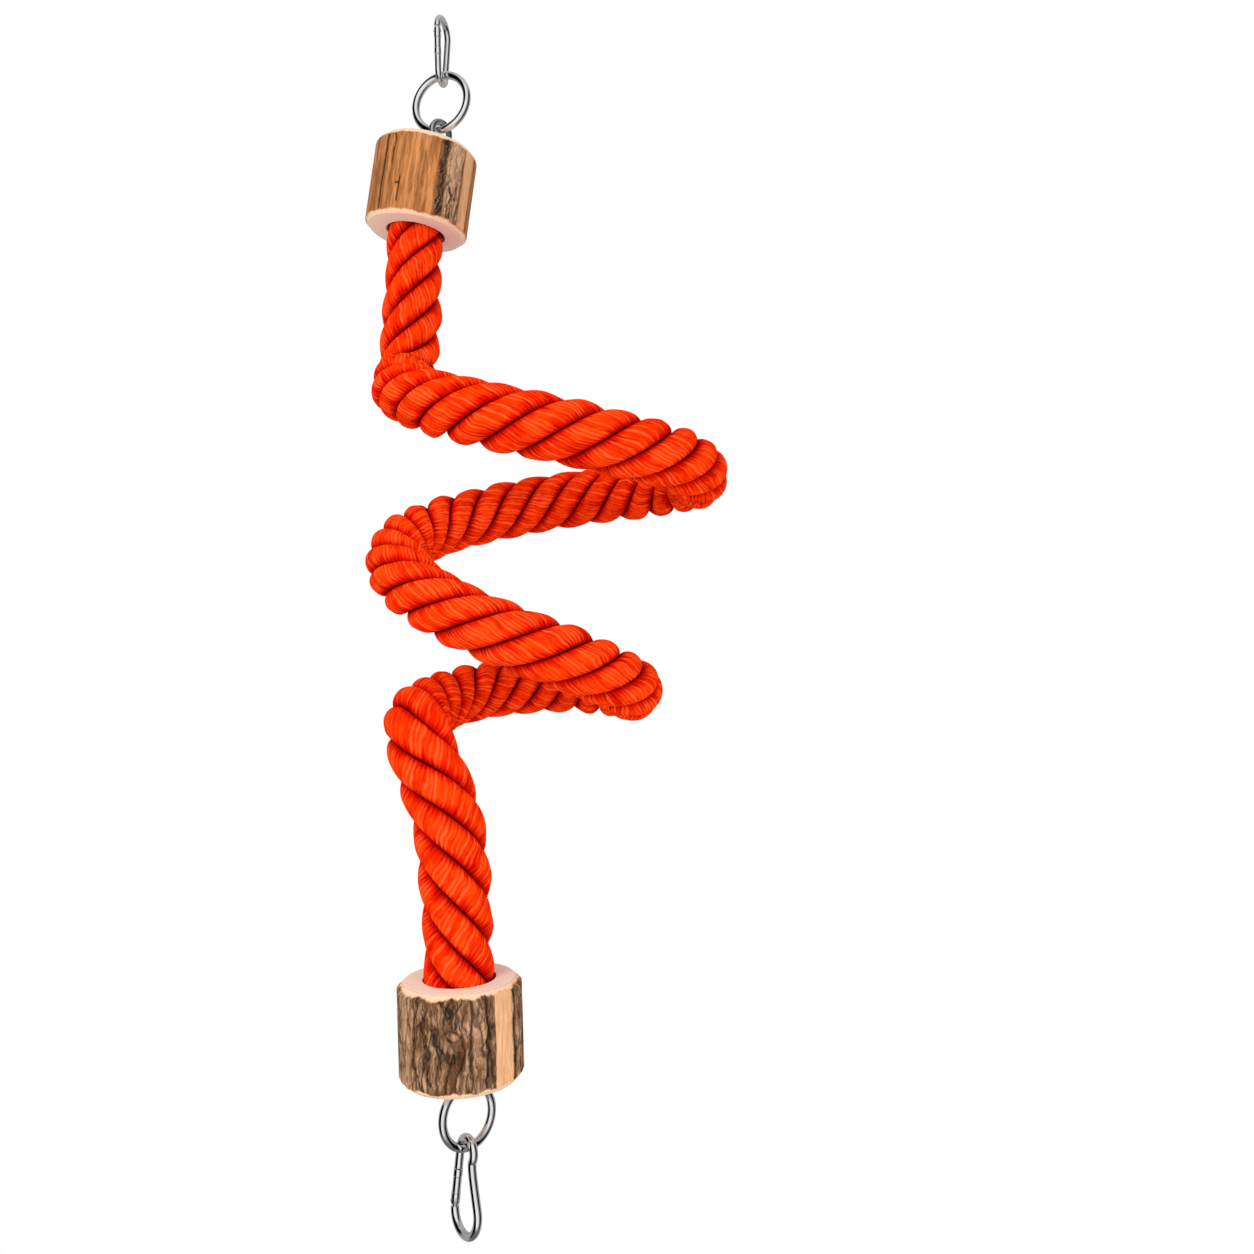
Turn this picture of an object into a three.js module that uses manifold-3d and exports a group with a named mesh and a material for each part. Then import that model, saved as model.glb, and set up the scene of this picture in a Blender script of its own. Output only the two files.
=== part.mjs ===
// Hanging rope perch for pet birds. A thick rope winds down in two loops between two bark-covered blocks.
// A snap hook and a ring carry the upper block, and a second ring and hook hang below the lower one.
// Millimetres, +Z up, +X to the right and +Y away from the viewer.
// The origin is the hanging point, on the inside of the upper hook's wide bow.
import * as THREE from 'three';
import { mergeVertices } from 'three/addons/utils/BufferGeometryUtils.js';
import Module from 'manifold-3d';

const wasm = await Module();
wasm.setup();

// Clearances
const SEAT_GAP = 0.3;
const CHAIN_GAP = 0.4;
const BORE_GAP = 0.7;
// Cuts run past the face they open
const CUT_PAST = 1;
// Corners closer than this are one
const WELD_DISTANCE = 1e-4;

// Sides and steps of the round shapes
const ROPE_SIDES = 12;
const CORE_SIDES = 6;
const BLOCK_SIDES = 40;
const WASHER_SIDES = 24;
const BAR_SIDES = 16;
const SMALL_BAR_SIDES = 12;
const NUT_SIDES = 6;
const WIRE_SIDES = 10;
const RING_STEPS = 32;
const EYE_STEPS = 24;
const NARROW_BOW_STEPS = 12;
const WIDE_BOW_STEPS = 16;
const SPRING_SIDES = 5;
const STEPS_PER_CURL = 8;
const STEPS_PER_SPAN = 2;

// Rope and the wire that holds it in its loops
const ROPE_DIAMETER = 50;
const ROPE_UPPER_END_DIAMETER = 48.5;
const ROPE_LOWER_END_DIAMETER = 54;
const ROPE_UPPER_TAPER = 110;
const ROPE_LOWER_SWELL_START = 330;
const ROPE_LOWER_SWELL_LENGTH = 120;
const ROPE_DEPTH = 39;
const ROPE_DROP = 609.6;
const APART_DIAMETERS = 3;
const CORE_DIAMETER = 5;
const CORE_SETBACK = 2;

// Route of the rope below the upper block's mouth, measured from that mouth
const UPPER_STEM = [[-2, 2.3, -36], [-2, 5.5, -69], [-4.3, 8.8, -98]];
const UPPER_BEND = [[-4.7, 6.9, -118.5], [-4.1, -1.5, -132], [-3.8, -15.4, -138]];
// The coil swings from one side to the other at these points, left first
const TURNING_POINTS = [[-4.5, -31.5, -143.5], [243.5, -23.3, -219], [-9, -16.3, -277],
  [189, -3.4, -394], [21, -2.8, -404.5]];
// Each half turn reaches out to the front or the back, and its middle hangs by the droop
const HALF_TURNS = [
  { side: -1, reach: 99, droop: 25.5 },
  { side: 1, reach: 98, droop: -32.5 },
  { side: -1, reach: 88, droop: 20.5 },
  { side: 1, reach: 87, droop: -20 },
];
const POINTS_PER_HALF_TURN = 6;
const LOWER_BEND = [[16, -23.3, -411.5], [17.5, -42, -419], [20.5, -53, -430.5], [27, -59, -445]];
// The lower mouth from the upper one, and the stem above it measured from that lower mouth
const LOWER_MOUTH = [54.5, -48];
const LOWER_STEM = [[-13.5, -13.5, 134.5], [-4.5, -11.2, 98.5], [-1.8, -7, 59.5], [-1.4, -2.8, 23]];
// Shares of the depth where the rope's line is set inside a block
const DEPTH_SHARES = [1, 0.7, 0.35, 0];

// Wooden blocks
const BLOCK_CHAMFER = 4;
const BORE_DEPTH = 49;
const UPPER_BLOCK = {
  name: 'top',
  diameter: 86,
  height: 73,
  axis: new THREE.Vector3(0.125, -0.045, 0.99),
  eyeOffset: 9.7,
  eyeSink: 0,
  eyeTurn: -33,
  neck: 5.5,
  nailTurn: 100,
};
const LOWER_BLOCK = {
  name: 'lower',
  diameter: 91,
  height: 75,
  axis: new THREE.Vector3(0.028, 0.112, -0.993),
  eyeOffset: 5,
  eyeSink: 10,
  eyeTurn: 0,
  neck: 2.5,
  nailTurn: 139,
};

// Eye bolts with their washers and nuts
const EYE_WIRE = 5.5;
const EYE_INSIDE = 12;
const BOLT_DIAMETER = 5.5;
const BOLT_END = 2;
const WASHER_DIAMETER = 18;
const WASHER_THICKNESS = 1.6;
const NUT_ACROSS_CORNERS = 11.5;
const NUT_HEIGHT = 5;
const SINK_DIAMETER = 36;

// Nails that keep the rope in the blocks
const NAIL_DIAMETER = 2.8;
const NAIL_HEAD_DIAMETER = 6;
const NAIL_HEAD_THICKNESS = 1.2;
const NAIL_BITE = 16;
const NAIL_FROM_MOUTH = 32;

// Rings
const RING_WIRE = 6.5;
const UPPER_RING = { name: 'top_ring', outside: 56, turn: 70 };
const LOWER_RING = { name: 'lower_ring', outside: 52.5, turn: -45 };

// Snap hooks, with the narrow bow on the ring
const UPPER_HOOK = {
  name: 'top',
  length: 63,
  width: 30,
  wire: 5.5,
  eyeWidth: 22,
  noseFromEye: 12,
  pinFromEye: 33,
  turn: 78,
};
const LOWER_HOOK = {
  name: 'lower',
  length: 76.5,
  width: 40,
  wire: 6.5,
  eyeWidth: 26,
  noseFromEye: 16,
  pinFromEye: 41,
  turn: -52,
};
const TANG_THICKNESS = 2.2;
const TANG_WIDTH = 4.4;
const TANG_PAST_PIN = 2.4;
const NOSE_LENGTH = 4;
const GATE_PAST_PIN = 2.5;
const GATE_TURNING_GAP = 0.6;
const PIN_DIAMETER = 2;
const PIN_PROUD = 0.4;
const SPRING_DIAMETER = 2.9;
const SPRING_WIRE = 0.6;
const SPRING_PITCH = 1.25;
const SPRING_CURLS = 8;

// Looks
function finish(color, roughness, metalness) {
  return new THREE.MeshStandardMaterial({ color, roughness, metalness });
}

const ropeYarn = finish(0xf03a0e, 0.9, 0);
const bareWood = finish(0xc08a58, 0.75, 0);
const plated = finish(0xc8cbd0, 0.22, 1);
const springSteel = finish(0x9a9da2, 0.35, 1);
const nailIron = finish(0x3b3734, 0.5, 1);

// A closed geometry as a solid for cutting and joining, turned the right way out
function solidOf(geometry) {
  const bare = geometry.clone();
  bare.deleteAttribute('normal');
  bare.deleteAttribute('uv');
  const merged = mergeVertices(bare, WELD_DISTANCE);
  const vertProperties = new Float32Array(merged.attributes.position.array);
  const triVerts = new Uint32Array(merged.index.array);
  if (signedVolume(vertProperties, triVerts) < 0) {
    for (let i = 0; i < triVerts.length; i += 3) {
      const first = triVerts[i];
      triVerts[i] = triVerts[i + 1];
      triVerts[i + 1] = first;
    }
  }
  return new wasm.Manifold(new wasm.Mesh({ numProp: 3, vertProperties, triVerts }));
}

function signedVolume(positions, triangles) {
  const corners = [new THREE.Vector3(), new THREE.Vector3(), new THREE.Vector3()];
  let volume = 0;
  for (let i = 0; i < triangles.length; i += 3) {
    corners.forEach((corner, k) => corner.fromArray(positions, 3 * triangles[i + k]));
    volume += corners[0].dot(corners[1].cross(corners[2])) / 6;
  }
  return volume;
}

function addPiece(group, name, solid, material) {
  const { vertProperties, triVerts } = solid.getMesh();
  const geometry = new THREE.BufferGeometry();
  geometry.setAttribute('position', new THREE.BufferAttribute(new Float32Array(vertProperties), 3));
  geometry.setIndex(new THREE.BufferAttribute(new Uint32Array(triVerts), 1));
  geometry.computeVertexNormals();
  const mesh = new THREE.Mesh(geometry, material);
  mesh.name = name;
  group.add(mesh);
}

// A round bar along Z between two heights
function bar(diameter, from, to, sides = BAR_SIDES) {
  const geometry = new THREE.CylinderGeometry(diameter / 2, diameter / 2, to - from, sides);
  geometry.rotateX(Math.PI / 2);
  geometry.translate(0, 0, (from + to) / 2);
  return geometry;
}

// A box that is given by its size, centred on X and Y, between two heights
function slab(width, depth, from, to) {
  const geometry = new THREE.BoxGeometry(width, depth, to - from);
  geometry.translate(0, 0, (from + to) / 2);
  return geometry;
}

// A solid of revolution about Z from radius and height pairs that start and end on the axis
function turned(profile, sides) {
  const outline = profile.map(([radius, height]) => new THREE.Vector2(radius, height));
  const geometry = new THREE.LatheGeometry(outline, sides);
  geometry.rotateX(Math.PI / 2);
  return geometry;
}

// A round tube with flat ends along a line of points, its section carried on without twist
function sweep(points, radiusAt, sides) {
  const positions = [];
  const triangles = [];
  const normal = new THREE.Vector3();
  points.forEach((point, i) => {
    const ahead = points[Math.min(i + 1, points.length - 1)];
    const behind = points[Math.max(i - 1, 0)];
    const tangent = ahead.clone().sub(behind).normalize();
    if (i === 0) {
      normal.set(tangent.y, tangent.z, tangent.x);
    }
    normal.addScaledVector(tangent, -normal.dot(tangent)).normalize();
    const binormal = tangent.clone().cross(normal);
    for (let k = 0; k < sides; k++) {
      const angle = (2 * Math.PI * k) / sides;
      const rim = point.clone();
      rim.addScaledVector(normal, radiusAt(i) * Math.cos(angle));
      rim.addScaledVector(binormal, radiusAt(i) * Math.sin(angle));
      positions.push(rim.x, rim.y, rim.z);
    }
  });
  const last = (points.length - 1) * sides;
  for (let ring = 0; ring < last; ring += sides) {
    for (let k = 0; k < sides; k++) {
      const next = (k + 1) % sides;
      triangles.push(ring + k, ring + next, ring + sides + next);
      triangles.push(ring + k, ring + sides + next, ring + sides + k);
    }
  }
  for (let k = 1; k < sides - 1; k++) {
    triangles.push(0, k + 1, k);
    triangles.push(last, last + k, last + k + 1);
  }
  const geometry = new THREE.BufferGeometry();
  geometry.setAttribute('position', new THREE.Float32BufferAttribute(positions, 3));
  geometry.setIndex(triangles);
  return geometry;
}

// A uniform cubic B-spline that starts and ends on its first and last control points
function smoothLine(controls, steps) {
  const first = controls[0].clone().multiplyScalar(2).sub(controls[1]);
  const lastTwo = controls.slice(-2);
  const last = lastTwo[1].clone().multiplyScalar(2).sub(lastTwo[0]);
  const points = [first, ...controls, last];
  const line = [];
  for (let i = 1; i < points.length - 2; i++) {
    for (let k = 0; k < steps; k++) {
      line.push(splinePoint(points.slice(i - 1, i + 3), k / steps));
    }
  }
  line.push(controls[controls.length - 1].clone());
  return line;
}

function splinePoint(four, t) {
  const weights = [(1 - t) ** 3, 3 * t ** 3 - 6 * t ** 2 + 4, -3 * t ** 3 + 3 * t ** 2 + 3 * t + 1, t ** 3];
  const point = new THREE.Vector3();
  four.forEach((control, i) => point.addScaledVector(control, weights[i] / 6));
  return point;
}

// A hook lies in X and Z with its narrow bow about the origin, its wide bow up and its gate on the left.
function hookShape(size) {
  const narrow = (size.eyeWidth - size.wire) / 2;
  const wide = (size.width - size.wire) / 2;
  const spread = size.length - size.wire - narrow - wide;
  const lean = Math.asin((wide - narrow) / spread);
  const legStart = new THREE.Vector3(-narrow * Math.cos(lean), 0, -narrow * Math.sin(lean));
  const legAlong = new THREE.Vector3(-Math.sin(lean), 0, Math.cos(lean));
  return { narrow, wide, spread, lean, legStart, legAlong };
}

function makeHook(group, size) {
  const shape = hookShape(size);
  const onLeg = (distance) => shape.legStart.clone().addScaledVector(shape.legAlong, distance);
  const gateStart = size.noseFromEye + GATE_TURNING_GAP;
  const gateEnd = size.pinFromEye + GATE_PAST_PIN;
  const bodyEnd = size.pinFromEye + Math.hypot(GATE_PAST_PIN, size.wire / 2) + GATE_TURNING_GAP;

  // Bent wire from the nose round the narrow bow, up the far leg and round the wide bow to the hinge
  const path = [onLeg(size.noseFromEye), onLeg(size.noseFromEye / 2)];
  const narrowSweep = Math.PI - 2 * shape.lean;
  for (let i = 0; i <= NARROW_BOW_STEPS; i++) {
    const angle = Math.PI + shape.lean + (narrowSweep * i) / NARROW_BOW_STEPS;
    path.push(new THREE.Vector3(shape.narrow * Math.cos(angle), 0, shape.narrow * Math.sin(angle)));
  }
  const legLength = shape.spread * Math.cos(shape.lean);
  const leftOffBow = Math.max(0, bodyEnd - legLength) / shape.wide;
  const wideSweep = Math.PI + 2 * shape.lean - leftOffBow;
  for (let i = 0; i <= WIDE_BOW_STEPS; i++) {
    const angle = -shape.lean + (wideSweep * i) / WIDE_BOW_STEPS;
    const height = shape.spread + shape.wide * Math.sin(angle);
    path.push(new THREE.Vector3(shape.wide * Math.cos(angle), 0, height));
  }
  if (bodyEnd < legLength - CUT_PAST) {
    path.push(onLeg(bodyEnd));
  }
  const wire = solidOf(sweep(path, () => size.wire / 2, WIRE_SIDES));

  // Flat tangs on the nose and at the hinge, which the slots of the gate go over
  const toLeg = (geometry) => {
    geometry.rotateY(-shape.lean);
    geometry.translate(shape.legStart.x, shape.legStart.y, shape.legStart.z);
    return solidOf(geometry);
  };
  const noseEnd = size.noseFromEye + NOSE_LENGTH;
  const nose = toLeg(slab(TANG_WIDTH, TANG_THICKNESS, size.noseFromEye - CUT_PAST, noseEnd));
  const hingeStart = size.pinFromEye - TANG_PAST_PIN;
  const hinge = toLeg(slab(TANG_WIDTH, TANG_THICKNESS, hingeStart, bodyEnd + CUT_PAST));
  const pinHole = (diameter, reach) => {
    const geometry = bar(diameter, -reach, reach, SMALL_BAR_SIDES);
    geometry.rotateX(Math.PI / 2);
    const at = onLeg(size.pinFromEye);
    geometry.translate(at.x, at.y, at.z);
    return solidOf(geometry);
  };
  const clearHole = pinHole(PIN_DIAMETER + 2 * SEAT_GAP, size.wire);
  addPiece(group, `${size.name}_hook`, wire.add(nose).add(hinge).subtract(clearHole), plated);

  // Gate: a bar with a slot at each end, and a bore for its spring
  const slot = TANG_THICKNESS + 2 * SEAT_GAP;
  const noseSlotEnd = noseEnd + GATE_TURNING_GAP;
  const hingeSlotStart = size.pinFromEye - Math.hypot(TANG_PAST_PIN, TANG_WIDTH / 2) - GATE_TURNING_GAP;
  const springLength = SPRING_CURLS * SPRING_PITCH + SPRING_WIRE;
  const springStart = hingeSlotStart - SEAT_GAP - springLength;
  const springBore = SPRING_DIAMETER + 2 * SEAT_GAP;
  const gate = toLeg(bar(size.wire, gateStart, gateEnd))
    .subtract(toLeg(slab(2 * size.wire, slot, gateStart - CUT_PAST, noseSlotEnd)))
    .subtract(toLeg(slab(2 * size.wire, slot, hingeSlotStart, gateEnd + CUT_PAST)))
    .subtract(toLeg(bar(springBore, springStart - SEAT_GAP, hingeSlotStart + CUT_PAST, SMALL_BAR_SIDES)))
    .subtract(clearHole);
  addPiece(group, `${size.name}_gate`, gate, plated);
  addPiece(group, `${size.name}_gate_pin`, pinHole(PIN_DIAMETER, size.wire / 2 + PIN_PROUD), springSteel);

  // Spring that pushes the gate shut
  const coil = [];
  const mean = (SPRING_DIAMETER - SPRING_WIRE) / 2;
  for (let i = 0; i <= SPRING_CURLS * STEPS_PER_CURL; i++) {
    const angle = (2 * Math.PI * i) / STEPS_PER_CURL;
    const height = springStart + SPRING_WIRE / 2 + (SPRING_PITCH * i) / STEPS_PER_CURL;
    coil.push(new THREE.Vector3(mean * Math.cos(angle), mean * Math.sin(angle), height));
  }
  const spring = toLeg(sweep(coil, () => SPRING_WIRE / 2, SPRING_SIDES));
  addPiece(group, `${size.name}_gate_spring`, spring, springSteel);
}

const ringRadius = (ring) => (ring.outside - RING_WIRE) / 2;

function makeRing(group, ring) {
  const geometry = new THREE.TorusGeometry(ringRadius(ring), RING_WIRE / 2, WIRE_SIDES, RING_STEPS);
  geometry.rotateY(Math.PI / 2);
  addPiece(group, ring.name, solidOf(geometry), plated);
}

// A block in its own frame: the mouth is at the origin and Z runs into the wood, away from the rope's loops
function makeBlock(group, size, ropeDiameter) {
  const bore = ropeDiameter / 2 + BORE_GAP;
  const outer = size.diameter / 2;
  const profile = [[0, BORE_DEPTH], [bore, BORE_DEPTH], [bore, 0], [outer - BLOCK_CHAMFER, 0],
    [outer, BLOCK_CHAMFER], [outer, size.height - BLOCK_CHAMFER], [outer - BLOCK_CHAMFER, size.height],
    [0, size.height]];
  const webEnd = size.height - size.eyeSink;
  const cutEnd = size.height + CUT_PAST;
  const atEye = (geometry) => solidOf(geometry.translate(size.eyeOffset, 0, 0));
  let wood = solidOf(turned(profile, BLOCK_SIDES));
  wood = wood.subtract(atEye(bar(BOLT_DIAMETER + 2 * SEAT_GAP, BORE_DEPTH - CUT_PAST, cutEnd)));
  if (size.eyeSink > 0) {
    wood = wood.subtract(atEye(bar(SINK_DIAMETER, webEnd, cutEnd, WASHER_SIDES)));
  }

  // Nail through the wall into the rope, its head let in flush
  const head = outer - NAIL_HEAD_THICKNESS - SEAT_GAP;
  const nailPoint = ropeDiameter / 2 - NAIL_BITE;
  const nailAt = (geometry) => {
    geometry.rotateY(Math.PI / 2);
    geometry.rotateZ(THREE.MathUtils.degToRad(size.nailTurn));
    return solidOf(geometry.translate(0, 0, NAIL_FROM_MOUTH));
  };
  const nailBar = (diameter, from, to) => nailAt(bar(diameter, from, to, SMALL_BAR_SIDES));
  const nailHole = nailBar(NAIL_DIAMETER + 2 * SEAT_GAP, nailPoint - SEAT_GAP, outer + CUT_PAST);
  const headHole = nailBar(NAIL_HEAD_DIAMETER + 2 * SEAT_GAP, head - SEAT_GAP, outer + CUT_PAST);
  const nail = nailBar(NAIL_DIAMETER, nailPoint, head + NAIL_HEAD_THICKNESS / 2)
    .add(nailBar(NAIL_HEAD_DIAMETER, head, head + NAIL_HEAD_THICKNESS));
  addPiece(group, `${size.name}_block`, wood.subtract(nailHole).subtract(headHole), bareWood);
  addPiece(group, `${size.name}_nail`, nail, nailIron);

  // Eye bolt through the web, with a washer outside and a washer and nut in the bore
  const eyeCentre = webEnd + size.neck + EYE_INSIDE / 2 + EYE_WIRE;
  const eye = new THREE.TorusGeometry((EYE_INSIDE + EYE_WIRE) / 2, EYE_WIRE / 2, WIRE_SIDES, EYE_STEPS);
  eye.rotateY(Math.PI / 2);
  eye.rotateZ(THREE.MathUtils.degToRad(size.eyeTurn));
  eye.translate(0, 0, eyeCentre);
  const innerWasher = BORE_DEPTH - SEAT_GAP - WASHER_THICKNESS;
  const nutTop = innerWasher - SEAT_GAP;
  const boltStart = nutTop - NUT_HEIGHT - BOLT_END;
  const shank = bar(BOLT_DIAMETER, boltStart, webEnd + size.neck + EYE_WIRE / 2);
  addPiece(group, `${size.name}_eye_bolt`, atEye(eye).add(atEye(shank)), plated);
  const boltHole = atEye(bar(BOLT_DIAMETER + 2 * SEAT_GAP, boltStart - CUT_PAST, eyeCentre));
  const washer = (from) => {
    const disc = bar(WASHER_DIAMETER, from, from + WASHER_THICKNESS, WASHER_SIDES);
    return atEye(disc).subtract(boltHole);
  };
  addPiece(group, `${size.name}_face_washer`, washer(webEnd + SEAT_GAP), plated);
  addPiece(group, `${size.name}_washer`, washer(innerWasher), plated);
  const nut = atEye(bar(NUT_ACROSS_CORNERS, nutTop - NUT_HEIGHT, nutTop, NUT_SIDES)).subtract(boltHole);
  addPiece(group, `${size.name}_nut`, nut, plated);
  group.updateMatrixWorld(true);
  return nailHole.transform(group.matrixWorld.elements);
}

// The frame of a block: its axis, and the direction that its eye bolt is set off in
function blockFrame(size, facing) {
  const axis = size.axis.clone().normalize();
  const across = facing.clone().addScaledVector(axis, -facing.dot(axis)).normalize();
  const side = axis.clone().cross(across);
  return { axis, across, turn: new THREE.Matrix4().makeBasis(across, side, axis) };
}

function ropeRoute(upperMouth, upperAxis, lowerAxis) {
  const from = (origin) => (offset) => origin.clone().add(new THREE.Vector3(...offset));
  const lowerMouth = upperMouth.clone().add(new THREE.Vector3(...LOWER_MOUTH, -ROPE_DROP));
  const inBlock = (mouth, axis, share) => mouth.clone().addScaledVector(axis, ROPE_DEPTH * share);
  const coil = [];
  HALF_TURNS.forEach(({ side, reach, droop }, i) => {
    const start = from(upperMouth)(TURNING_POINTS[i]);
    const end = from(upperMouth)(TURNING_POINTS[i + 1]);
    const last = i === HALF_TURNS.length - 1 ? 1 : 0;
    for (let k = 0; k < POINTS_PER_HALF_TURN + last; k++) {
      const t = k / POINTS_PER_HALF_TURN;
      const point = start.clone().lerp(end, t);
      point.x = (start.x + end.x) / 2 + ((start.x - end.x) / 2) * Math.cos(Math.PI * t);
      point.y += side * reach * Math.sin(Math.PI * t);
      point.z -= droop * Math.sin(Math.PI * t);
      coil.push(point);
    }
  });
  const controls = [
    ...DEPTH_SHARES.map((share) => inBlock(upperMouth, upperAxis, share)),
    ...UPPER_STEM.map(from(upperMouth)),
    ...UPPER_BEND.map(from(upperMouth)),
    ...coil,
    ...LOWER_BEND.map(from(upperMouth)),
    ...LOWER_STEM.map(from(lowerMouth)),
    ...DEPTH_SHARES.toReversed().map((share) => inBlock(lowerMouth, lowerAxis, share)),
  ];
  return { line: smoothLine(controls, STEPS_PER_SPAN), lowerMouth };
}

function runningLength(line) {
  const lengths = [0];
  for (let i = 1; i < line.length; i++) {
    lengths.push(lengths[i - 1] + line[i].distanceTo(line[i - 1]));
  }
  return lengths;
}

// The rope is a little thinner where it is pressed into the upper block, and swells towards the lower one
function ropeRadii(lengths) {
  const total = lengths[lengths.length - 1];
  return lengths.map((along) => {
    const taper = 1 - THREE.MathUtils.smoothstep(along, ROPE_DEPTH, ROPE_DEPTH + ROPE_UPPER_TAPER);
    const swellStart = total - ROPE_LOWER_SWELL_START;
    const swell = THREE.MathUtils.smoothstep(along, swellStart, swellStart + ROPE_LOWER_SWELL_LENGTH);
    const upper = (ROPE_UPPER_END_DIAMETER - ROPE_DIAMETER) * taper;
    const lower = (ROPE_LOWER_END_DIAMETER - ROPE_DIAMETER) * swell;
    return (ROPE_DIAMETER + upper + lower) / 2;
  });
}

// Least gap between stretches of the rope that lie well apart along it
function leastSelfGap(line, lengths, radii) {
  const apart = APART_DIAMETERS * ROPE_DIAMETER;
  let least = Infinity;
  for (let i = 0; i < line.length; i++) {
    for (let k = i + 1; k < line.length; k++) {
      const gap = line[i].distanceTo(line[k]) - radii[i] - radii[k];
      least = lengths[k] - lengths[i] < apart ? least : Math.min(least, gap);
    }
  }
  return least;
}

const toy = new THREE.Group();
const hang = (x, y, z, turn) => {
  const group = new THREE.Group();
  group.position.set(x, y, z);
  group.rotation.z = THREE.MathUtils.degToRad(turn);
  toy.add(group);
  return group;
};

// Upper hook and ring, hung from the origin
const upperShape = hookShape(UPPER_HOOK);
const upperEyeHeight = -(upperShape.spread + upperShape.wide - UPPER_HOOK.wire / 2);
makeHook(hang(0, 0, upperEyeHeight, UPPER_HOOK.turn), UPPER_HOOK);
const upperRingTop = upperEyeHeight - upperShape.narrow + (UPPER_HOOK.wire + RING_WIRE) / 2 + CHAIN_GAP;
makeRing(hang(0, 0, upperRingTop - ringRadius(UPPER_RING), UPPER_RING.turn), UPPER_RING);

// Upper block, hung by its eye in that ring
const eyeRadius = (EYE_INSIDE + EYE_WIRE) / 2;
const eyeDrop = eyeRadius - (EYE_WIRE + RING_WIRE) / 2 - CHAIN_GAP;
const ringFacing = (turn) => {
  const angle = THREE.MathUtils.degToRad(turn);
  return new THREE.Vector3(-Math.sin(angle), Math.cos(angle), 0);
};
const upperEye = new THREE.Vector3(0, 0, upperRingTop - 2 * ringRadius(UPPER_RING) - eyeDrop);
const eyeStand = (size) => size.height - size.eyeSink + size.neck + EYE_INSIDE / 2 + EYE_WIRE;
const upperFrame = blockFrame(UPPER_BLOCK, ringFacing(UPPER_HOOK.turn).negate());
const upperMouth = upperEye.clone();
upperMouth.addScaledVector(upperFrame.axis, -eyeStand(UPPER_BLOCK));
upperMouth.addScaledVector(upperFrame.across, -UPPER_BLOCK.eyeOffset);
const upperBlock = new THREE.Group();
upperBlock.setRotationFromMatrix(upperFrame.turn);
upperBlock.position.copy(upperMouth);
toy.add(upperBlock);
const upperNailHole = makeBlock(upperBlock, UPPER_BLOCK, ROPE_UPPER_END_DIAMETER);

// Lower block on the other end of the rope
const lowerFrame = blockFrame(LOWER_BLOCK, ringFacing(LOWER_HOOK.turn));
const { line, lowerMouth } = ropeRoute(upperMouth, upperFrame.axis, lowerFrame.axis);
const lowerBlock = new THREE.Group();
lowerBlock.setRotationFromMatrix(lowerFrame.turn);
lowerBlock.position.copy(lowerMouth);
toy.add(lowerBlock);
const lowerNailHole = makeBlock(lowerBlock, LOWER_BLOCK, ROPE_LOWER_END_DIAMETER);

// Lower ring and hook, hung from the lower block's eye
const lowerEye = lowerMouth.clone();
lowerEye.addScaledVector(lowerFrame.axis, eyeStand(LOWER_BLOCK));
lowerEye.addScaledVector(lowerFrame.across, LOWER_BLOCK.eyeOffset);
const lowerRingTop = lowerEye.z - eyeDrop;
makeRing(hang(lowerEye.x, lowerEye.y, lowerRingTop - ringRadius(LOWER_RING), LOWER_RING.turn), LOWER_RING);
const lowerRingEnd = lowerRingTop - 2 * ringRadius(LOWER_RING);
const lowerBowTop = lowerRingEnd + (LOWER_HOOK.wire + RING_WIRE) / 2 + CHAIN_GAP;
const lowerHookHeight = lowerBowTop - hookShape(LOWER_HOOK).narrow;
const lowerHook = new THREE.Group();
lowerHook.rotation.x = Math.PI;
hang(lowerEye.x, lowerEye.y, lowerHookHeight, LOWER_HOOK.turn).add(lowerHook);
makeHook(lowerHook, LOWER_HOOK);

// Rope with its bore, and the wire inside it
const lengths = runningLength(line);
const radii = ropeRadii(lengths);
const boreRadius = CORE_DIAMETER / 2 + SEAT_GAP;
const past = (end, before) => end.clone().multiplyScalar(2).sub(before);
const boreLine = [past(line[0], line[1]), ...line, past(line[line.length - 1], line[line.length - 2])];
const rope = solidOf(sweep(line, (i) => radii[i], ROPE_SIDES))
  .subtract(solidOf(sweep(boreLine, () => boreRadius / Math.cos(Math.PI / CORE_SIDES), CORE_SIDES)))
  .subtract(upperNailHole)
  .subtract(lowerNailHole);
addPiece(toy, 'rope', rope, ropeYarn);
const totalLength = lengths[lengths.length - 1];
const inside = (along) => along > CORE_SETBACK && along < totalLength - CORE_SETBACK;
const coreLine = line.filter((point, i) => inside(lengths[i]));
addPiece(toy, 'core_wire', solidOf(sweep(coreLine, () => CORE_DIAMETER / 2, CORE_SIDES)), springSteel);

console.log(`rope: ${totalLength.toFixed(0)} mm long, least gap to itself ` +
  `${leastSelfGap(line, lengths, radii).toFixed(1)} mm`);

export default toy;
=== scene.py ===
# %% [markdown]
# # A hanging spiral perch of thick red rope
# The real thing is a perch for pet birds. A thick twisted rope winds down in two loops, and each of its
# ends sits in a block cut from a branch with the bark left on. A snap hook and a ring carry the upper
# block, and a second ring and hook hang under the lower one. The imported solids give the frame, and
# every surface that is seen is worked out here with numpy in millimetres and put into Blender in
# metres.

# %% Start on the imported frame
import math

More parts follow.
